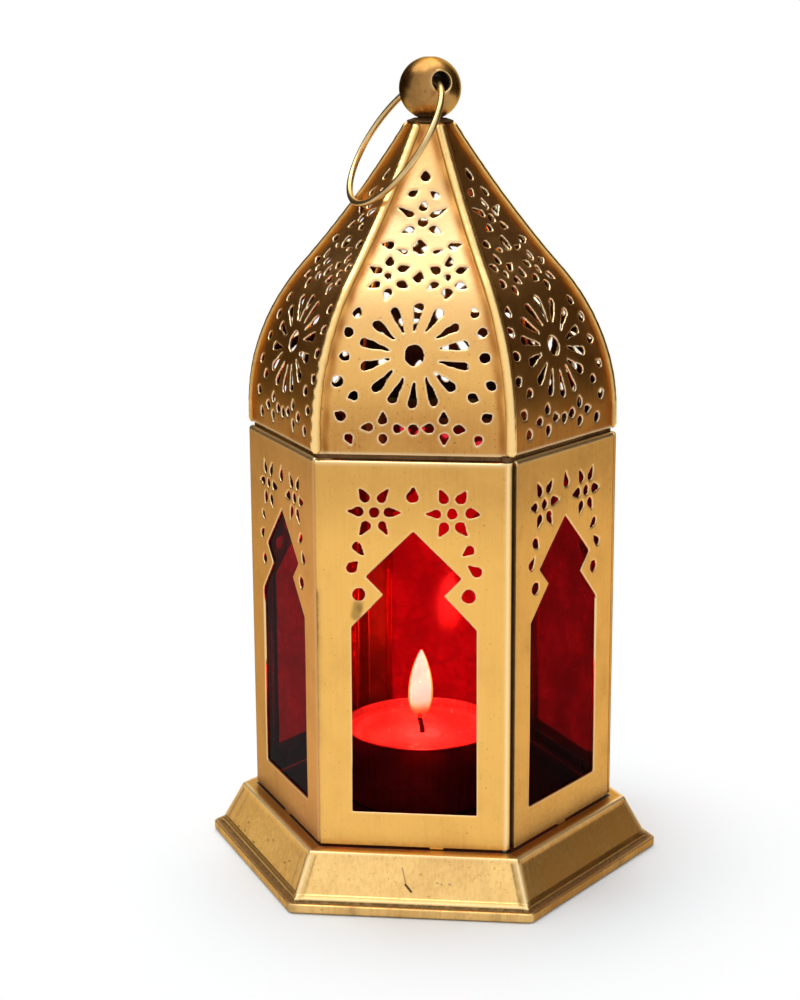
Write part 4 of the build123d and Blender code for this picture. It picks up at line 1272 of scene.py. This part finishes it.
def build_ring():
    """Carry ring: a round wire of slightly uneven gauge, carried round a circle in the hole axis's plane."""
    a = np.linspace(0, 2 * math.pi, 160, endpoint=False)
    b = np.linspace(0, 2 * math.pi, 18, endpoint=False)
    gauge = (wire_radius * (1 - 0.025 * (1 + np.sin(3 * a + 1) * np.sin(7 * a))))[:, None]
    face = np.cross(hole_axis, ring_hang)
    way = np.cos(a)[:, None] * ring_hang + np.sin(a)[:, None] * hole_axis
    points = ring_centre + (ring_radius + gauge * np.cos(b))[..., None] * way[:, None]
    points = (points + (gauge * np.sin(b))[..., None] * face).reshape(-1, 3)
    faces = [grid_faces(len(a), len(b), True, True)[:, ::-1]]
    wear_and_highlight = (0.35 * smooth(0.5 + 0.5 * wobble(a[:, None] * 16, b[None] * 0.75, 60, 9.0))).ravel()
    traits = {"wear_and_highlight": wear_and_highlight, "grime_and_shade": 0.0 * wear_and_highlight}
    make_piece("carry_ring_wire", points, faces, "ring", ["carry_ring"], "ring_brass", ring_brass, traits)


build_ball()
build_cap()
build_ring()

# Tealight


def build_cup():
    """Drawn cup with a rolled lip: a profile of (radius, height) turned round the cup's axis."""
    foot, top = cup_low[2], cup_high[2]
    profile = rounded_line(
        [
            (0.5, foot),
            (cup_radius - 0.7, foot),
            (cup_radius - 0.45, top - 0.7),
            (cup_radius - 0.02, top - 0.7),
            (cup_radius - 0.02, top),
            (cup_radius - 0.55, top),
            (cup_radius - 0.85, foot + 0.45),
            (0.5, foot + 0.45),
        ],
        [0.8, 0.15, 0.3, 0.2, 0.2, 0.8],
        5,
    )
    points, faces = turned(profile, 96, cup_middle, True, True)
    finish = ("cup_aluminium", cup_aluminium)
    make_piece("candle_cup", points, faces, "tealight", ["tealight_cup"], *finish, sharp=50)


def build_candle_wax():
    """Wax with a melted pool: a profile of (radius, height) turned round the cup's axis."""
    low, top = wax_low[2], wax_high[2]
    wax_radius = (wax_high[0] - wax_low[0]) / 2
    pool_floor = top - 1.2
    profile = rounded_line(
        [
            (6.5, low),
            (wax_radius - 0.6, low),
            (wax_radius - 0.05, top),
            (wax_radius - 2.2, top),
            (wax_radius - 4.2, pool_floor),
            (2.2, pool_floor),
            (0.9, pool_floor + 0.35),
        ],
        [0.6, 0.5, 0.8, 1.5, 0.8],
        6,
    )
    points, faces = turned(refined(profile, 0.15), 96, cup_middle, True, True)
    radius = np.hypot(points[:, 0] - cup_middle[0], points[:, 1])
    upper = points[:, 2] > low + 2
    melt_edge, foot_disc = wax_radius - 3.6, 4.9
    rings = 0.3 * hill(radius - melt_edge, 0.35) + 0.45 * hill(radius - foot_disc, 0.4)
    traits = {"pool": smooth((wax_radius - 3.0 - radius) / 1.5) * upper, "rings": rings * upper}
    make_piece("candle_wax", points, faces, "tealight", ["tealight_wax"], "wax", candle_wax, traits)


def build_wick():
    """Wick: a round section with three plaits, carried up a line that bends over near its tip."""
    t = np.linspace(0, 1, 30)[:, None]
    around = np.linspace(0, 2 * math.pi, 14, endpoint=False)
    bend = 0.75 * smooth((t - 0.72) / 0.28)
    thick = 0.72 * (1 - 0.25 * t) * np.where(t > 0.97, 0.5, 1) * (1 + 0.07 * np.sin(around * 3 + t * 40))
    x = cup_middle[0] - bend + thick * np.cos(around)
    y = thick * np.sin(around) - 0.1 * bend
    z = wick_low[2] + (wick_high[2] - wick_low[2]) * t + 0 * around
    points, faces = capped_tube(np.stack([x, y, z], -1))
    char = np.append(smooth((t - 0.55) / 0.12) * np.ones_like(around), [0, 1])
    make_piece("candle_wick", points, faces, "tealight", ["wick"], "wick_cotton", wick_cotton, {"char": char})


def build_flame():
    """Flame: a drop's profile turned round an axis that leans a little, as a body in a wider sheath. Its
    width goes by the root of the share of the height below it and nearly the full share above it.
    """
    t = np.linspace(0.0, 1.0, 60)[1:-1]
    tall = flame_tip - flame_foot
    width = flame_radius * t**0.5 * (1 - t) ** 0.85 / 0.415
    shells, faces, counted = [], [], 0
    for spread in (1.0, 1.13):
        profile = np.stack([width * spread, flame_foot + tall * t], -1)
        shell, groups = turned(profile, 40, np.zeros(2), True, True)
        shells.append(shell)
        faces += [group + counted for group in groups]
        counted += len(shell)
    points = np.concatenate(shells)
    share = (points[:, 2] - flame_foot) / tall
    points[:, 0] += cup_middle[0] - 0.6 + 0.4 * share
    traits = {"burn": share, "sheath": np.repeat([0.0, 1.0], counted // 2)}
    make_piece("candle_flame", points, faces, "tealight", [], "wick_cotton", flame_glow, traits)


build_cup()
build_candle_wax()
build_wick()
build_flame()

# Finishes of the CAD nodes that stay
# The neck frame and pane rails take the near-black finish as painted shade in the gaps
kept = {
    "neck_frame": soot_and_shade_brass,
    "hinge_pin": steel,
    "finial_stud": steel,
    "finial_nut": steel,
    "wick_sustainer": steel,
    "door_pane": clear_ruby,
    "door_pane_rails": soot_and_shade_brass,
}
for side in list(turns)[1:]:
    kept["pane_" + side] = shaded_ruby if side in ("left", "right") else rear_ruby
    kept["pane_rails_" + side] = soot_and_shade_brass
for node, finish in kept.items():
    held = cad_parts[node].data.materials
    held.clear()
    held.append(finish)

# Studio: a pale floor, dark walls to the sides that only reflections see, a soft lamp and the camera


def stage_object(name, points, faces, finish):
    """A studio object from points in metres and rows of point numbers."""
    mesh = bpy.data.meshes.new(name)
    mesh.from_pydata(points.tolist(), [], faces)
    mesh.materials.append(finish)
    made = bpy.data.objects.new(name, mesh)
    bpy.context.scene.collection.objects.link(made)
    return made


def matt(name, colour, rough):
    """A matt studio finish, without gloss."""
    made, tree, shader = new_material(name)
    shader.inputs["Base Color"].default_value = colour
    shader.inputs["Roughness"].default_value = rough
    shader.inputs["Specular IOR Level"].default_value = 0.0
    return made, tree, shader


def build_floor():
    """Pale paper floor that keeps the lantern's shadow near it and fades to the white surround far out."""
    made, tree, shader = matt("paper_floor", rgb(0.9, 0.955, 0.99), 0.9)
    fade = ramp(tree, vector(tree, "LENGTH", at_object(tree)), 0.04, 0.115)
    far = calc(tree, "MULTIPLY", fade, seen_directly(tree))
    white = add_node(tree, "Emission", {"Color": rgb(1, 1, 1), "Strength": 1.0})
    both = add_node(tree, "MixShader", {0: far, 1: shader.outputs[0], 2: white.outputs[0]})
    tree.links.new(both.outputs[0], tree.nodes["Material Output"].inputs["Surface"])
    r = np.linspace(0, 3000.0, 7)[1:]
    points, groups = turned(np.stack([r, np.full(len(r), -0.02)], -1), 64, np.zeros(2), True, False)
    faces = [row for group in groups for row in group[:, ::-1].tolist()]
    floor = stage_object("paper_floor", points * MM, faces, made)


def build_dark_wall(name, radius, first, last, foot, top, shade):
    """A dark studio wall that only reflections see: part of an upright cylinder round the lantern, from one
    turn to another in degrees and between two heights in metres.
    """
    a = np.radians(np.linspace(first, last, 25))[None, :]
    height = np.linspace(foot, top, 4)[:, None]
    points = np.stack(np.broadcast_arrays(radius * np.sin(a), -radius * np.cos(a), height), -1)
    faces = grid_faces(height.size, a.size)[:, ::-1].tolist()
    wall = stage_object(name, points.reshape(-1, 3), faces, matt(name, rgb(*shade), 1.0)[0])
    wall.visible_camera = False
    wall.visible_shadow = False
    wall.visible_diffuse = False
    wall.visible_transmission = False


def build_lamp(name, place, aim, size, power, colour):
    """A soft rectangular lamp, aimed at a point; places in metres."""
    light = bpy.data.lights.new(name, "AREA")
    light.shape = "RECTANGLE"
    light.size, light.size_y = size
    light.energy = power
    light.color = colour
    lamp = bpy.data.objects.new(name, light)
    lamp.location = place
    lamp.rotation_euler = (Vector(aim) - Vector(place)).to_track_quat("-Z", "Y").to_euler()
    bpy.context.scene.collection.objects.link(lamp)


def build_world():
    """White surround for the camera, metal and glass; a softer grey for the light it gives."""
    world = bpy.data.worlds.new("studio")
    bpy.context.scene.world = world
    world.use_nodes = True
    tree = world.node_tree
    tree.nodes.clear()
    soft = add_node(tree, "Background", {"Color": rgb(1, 1, 1), "Strength": 0.55})
    white = add_node(tree, "Background", {"Color": rgb(1, 1, 1), "Strength": 1.0})
    both = add_node(tree, "MixShader", {0: seen_directly(tree), 1: soft.outputs[0], 2: white.outputs[0]})
    out = add_node(tree, "OutputWorld")
    tree.links.new(both.outputs[0], out.inputs["Surface"])


def build_camera():
    """The photograph's viewpoint, 800 by 1000 pixels."""
    lens = bpy.data.cameras.new("camera")
    lens.sensor_fit = "VERTICAL"
    lens.sensor_height = 36.0
    lens.lens = 70.29
    lens.shift_x, lens.shift_y = -0.0311, -0.0073
    lens.clip_start = 0.01
    camera = bpy.data.objects.new("camera", lens)
    place, aim = Vector((0.04676, -0.44382, 0.18718)), Vector((0, 0, 0.086))
    turn = (aim - place).to_track_quat("-Z", "Y").to_matrix() @ Matrix.Rotation(math.radians(-0.14), 3, "Z")
    camera.matrix_world = Matrix.Translation(place) @ turn.to_4x4()
    bpy.context.scene.collection.objects.link(camera)
    bpy.context.scene.camera = camera


build_floor()
build_dark_wall("dark_wall_left", 0.36, 200, 268, 0.05, 0.5, (0.05, 0.03, 0.015))
build_dark_wall("dark_wall_front_left", 0.36, 268, 288, 0.16, 0.5, (0.05, 0.03, 0.015))
build_dark_wall("dark_wall_right", 0.48, 78, 152, 0.04, 0.8, (0.04, 0.022, 0.01))
build_lamp("overhead_panel", (-0.2, 0.2, 1.2), (0, 0, 0.05), (1.3, 1.0), 12.0, (1, 0.99, 0.97))
build_world()
build_camera()
bpy.context.scene.view_settings.view_transform = "Standard"
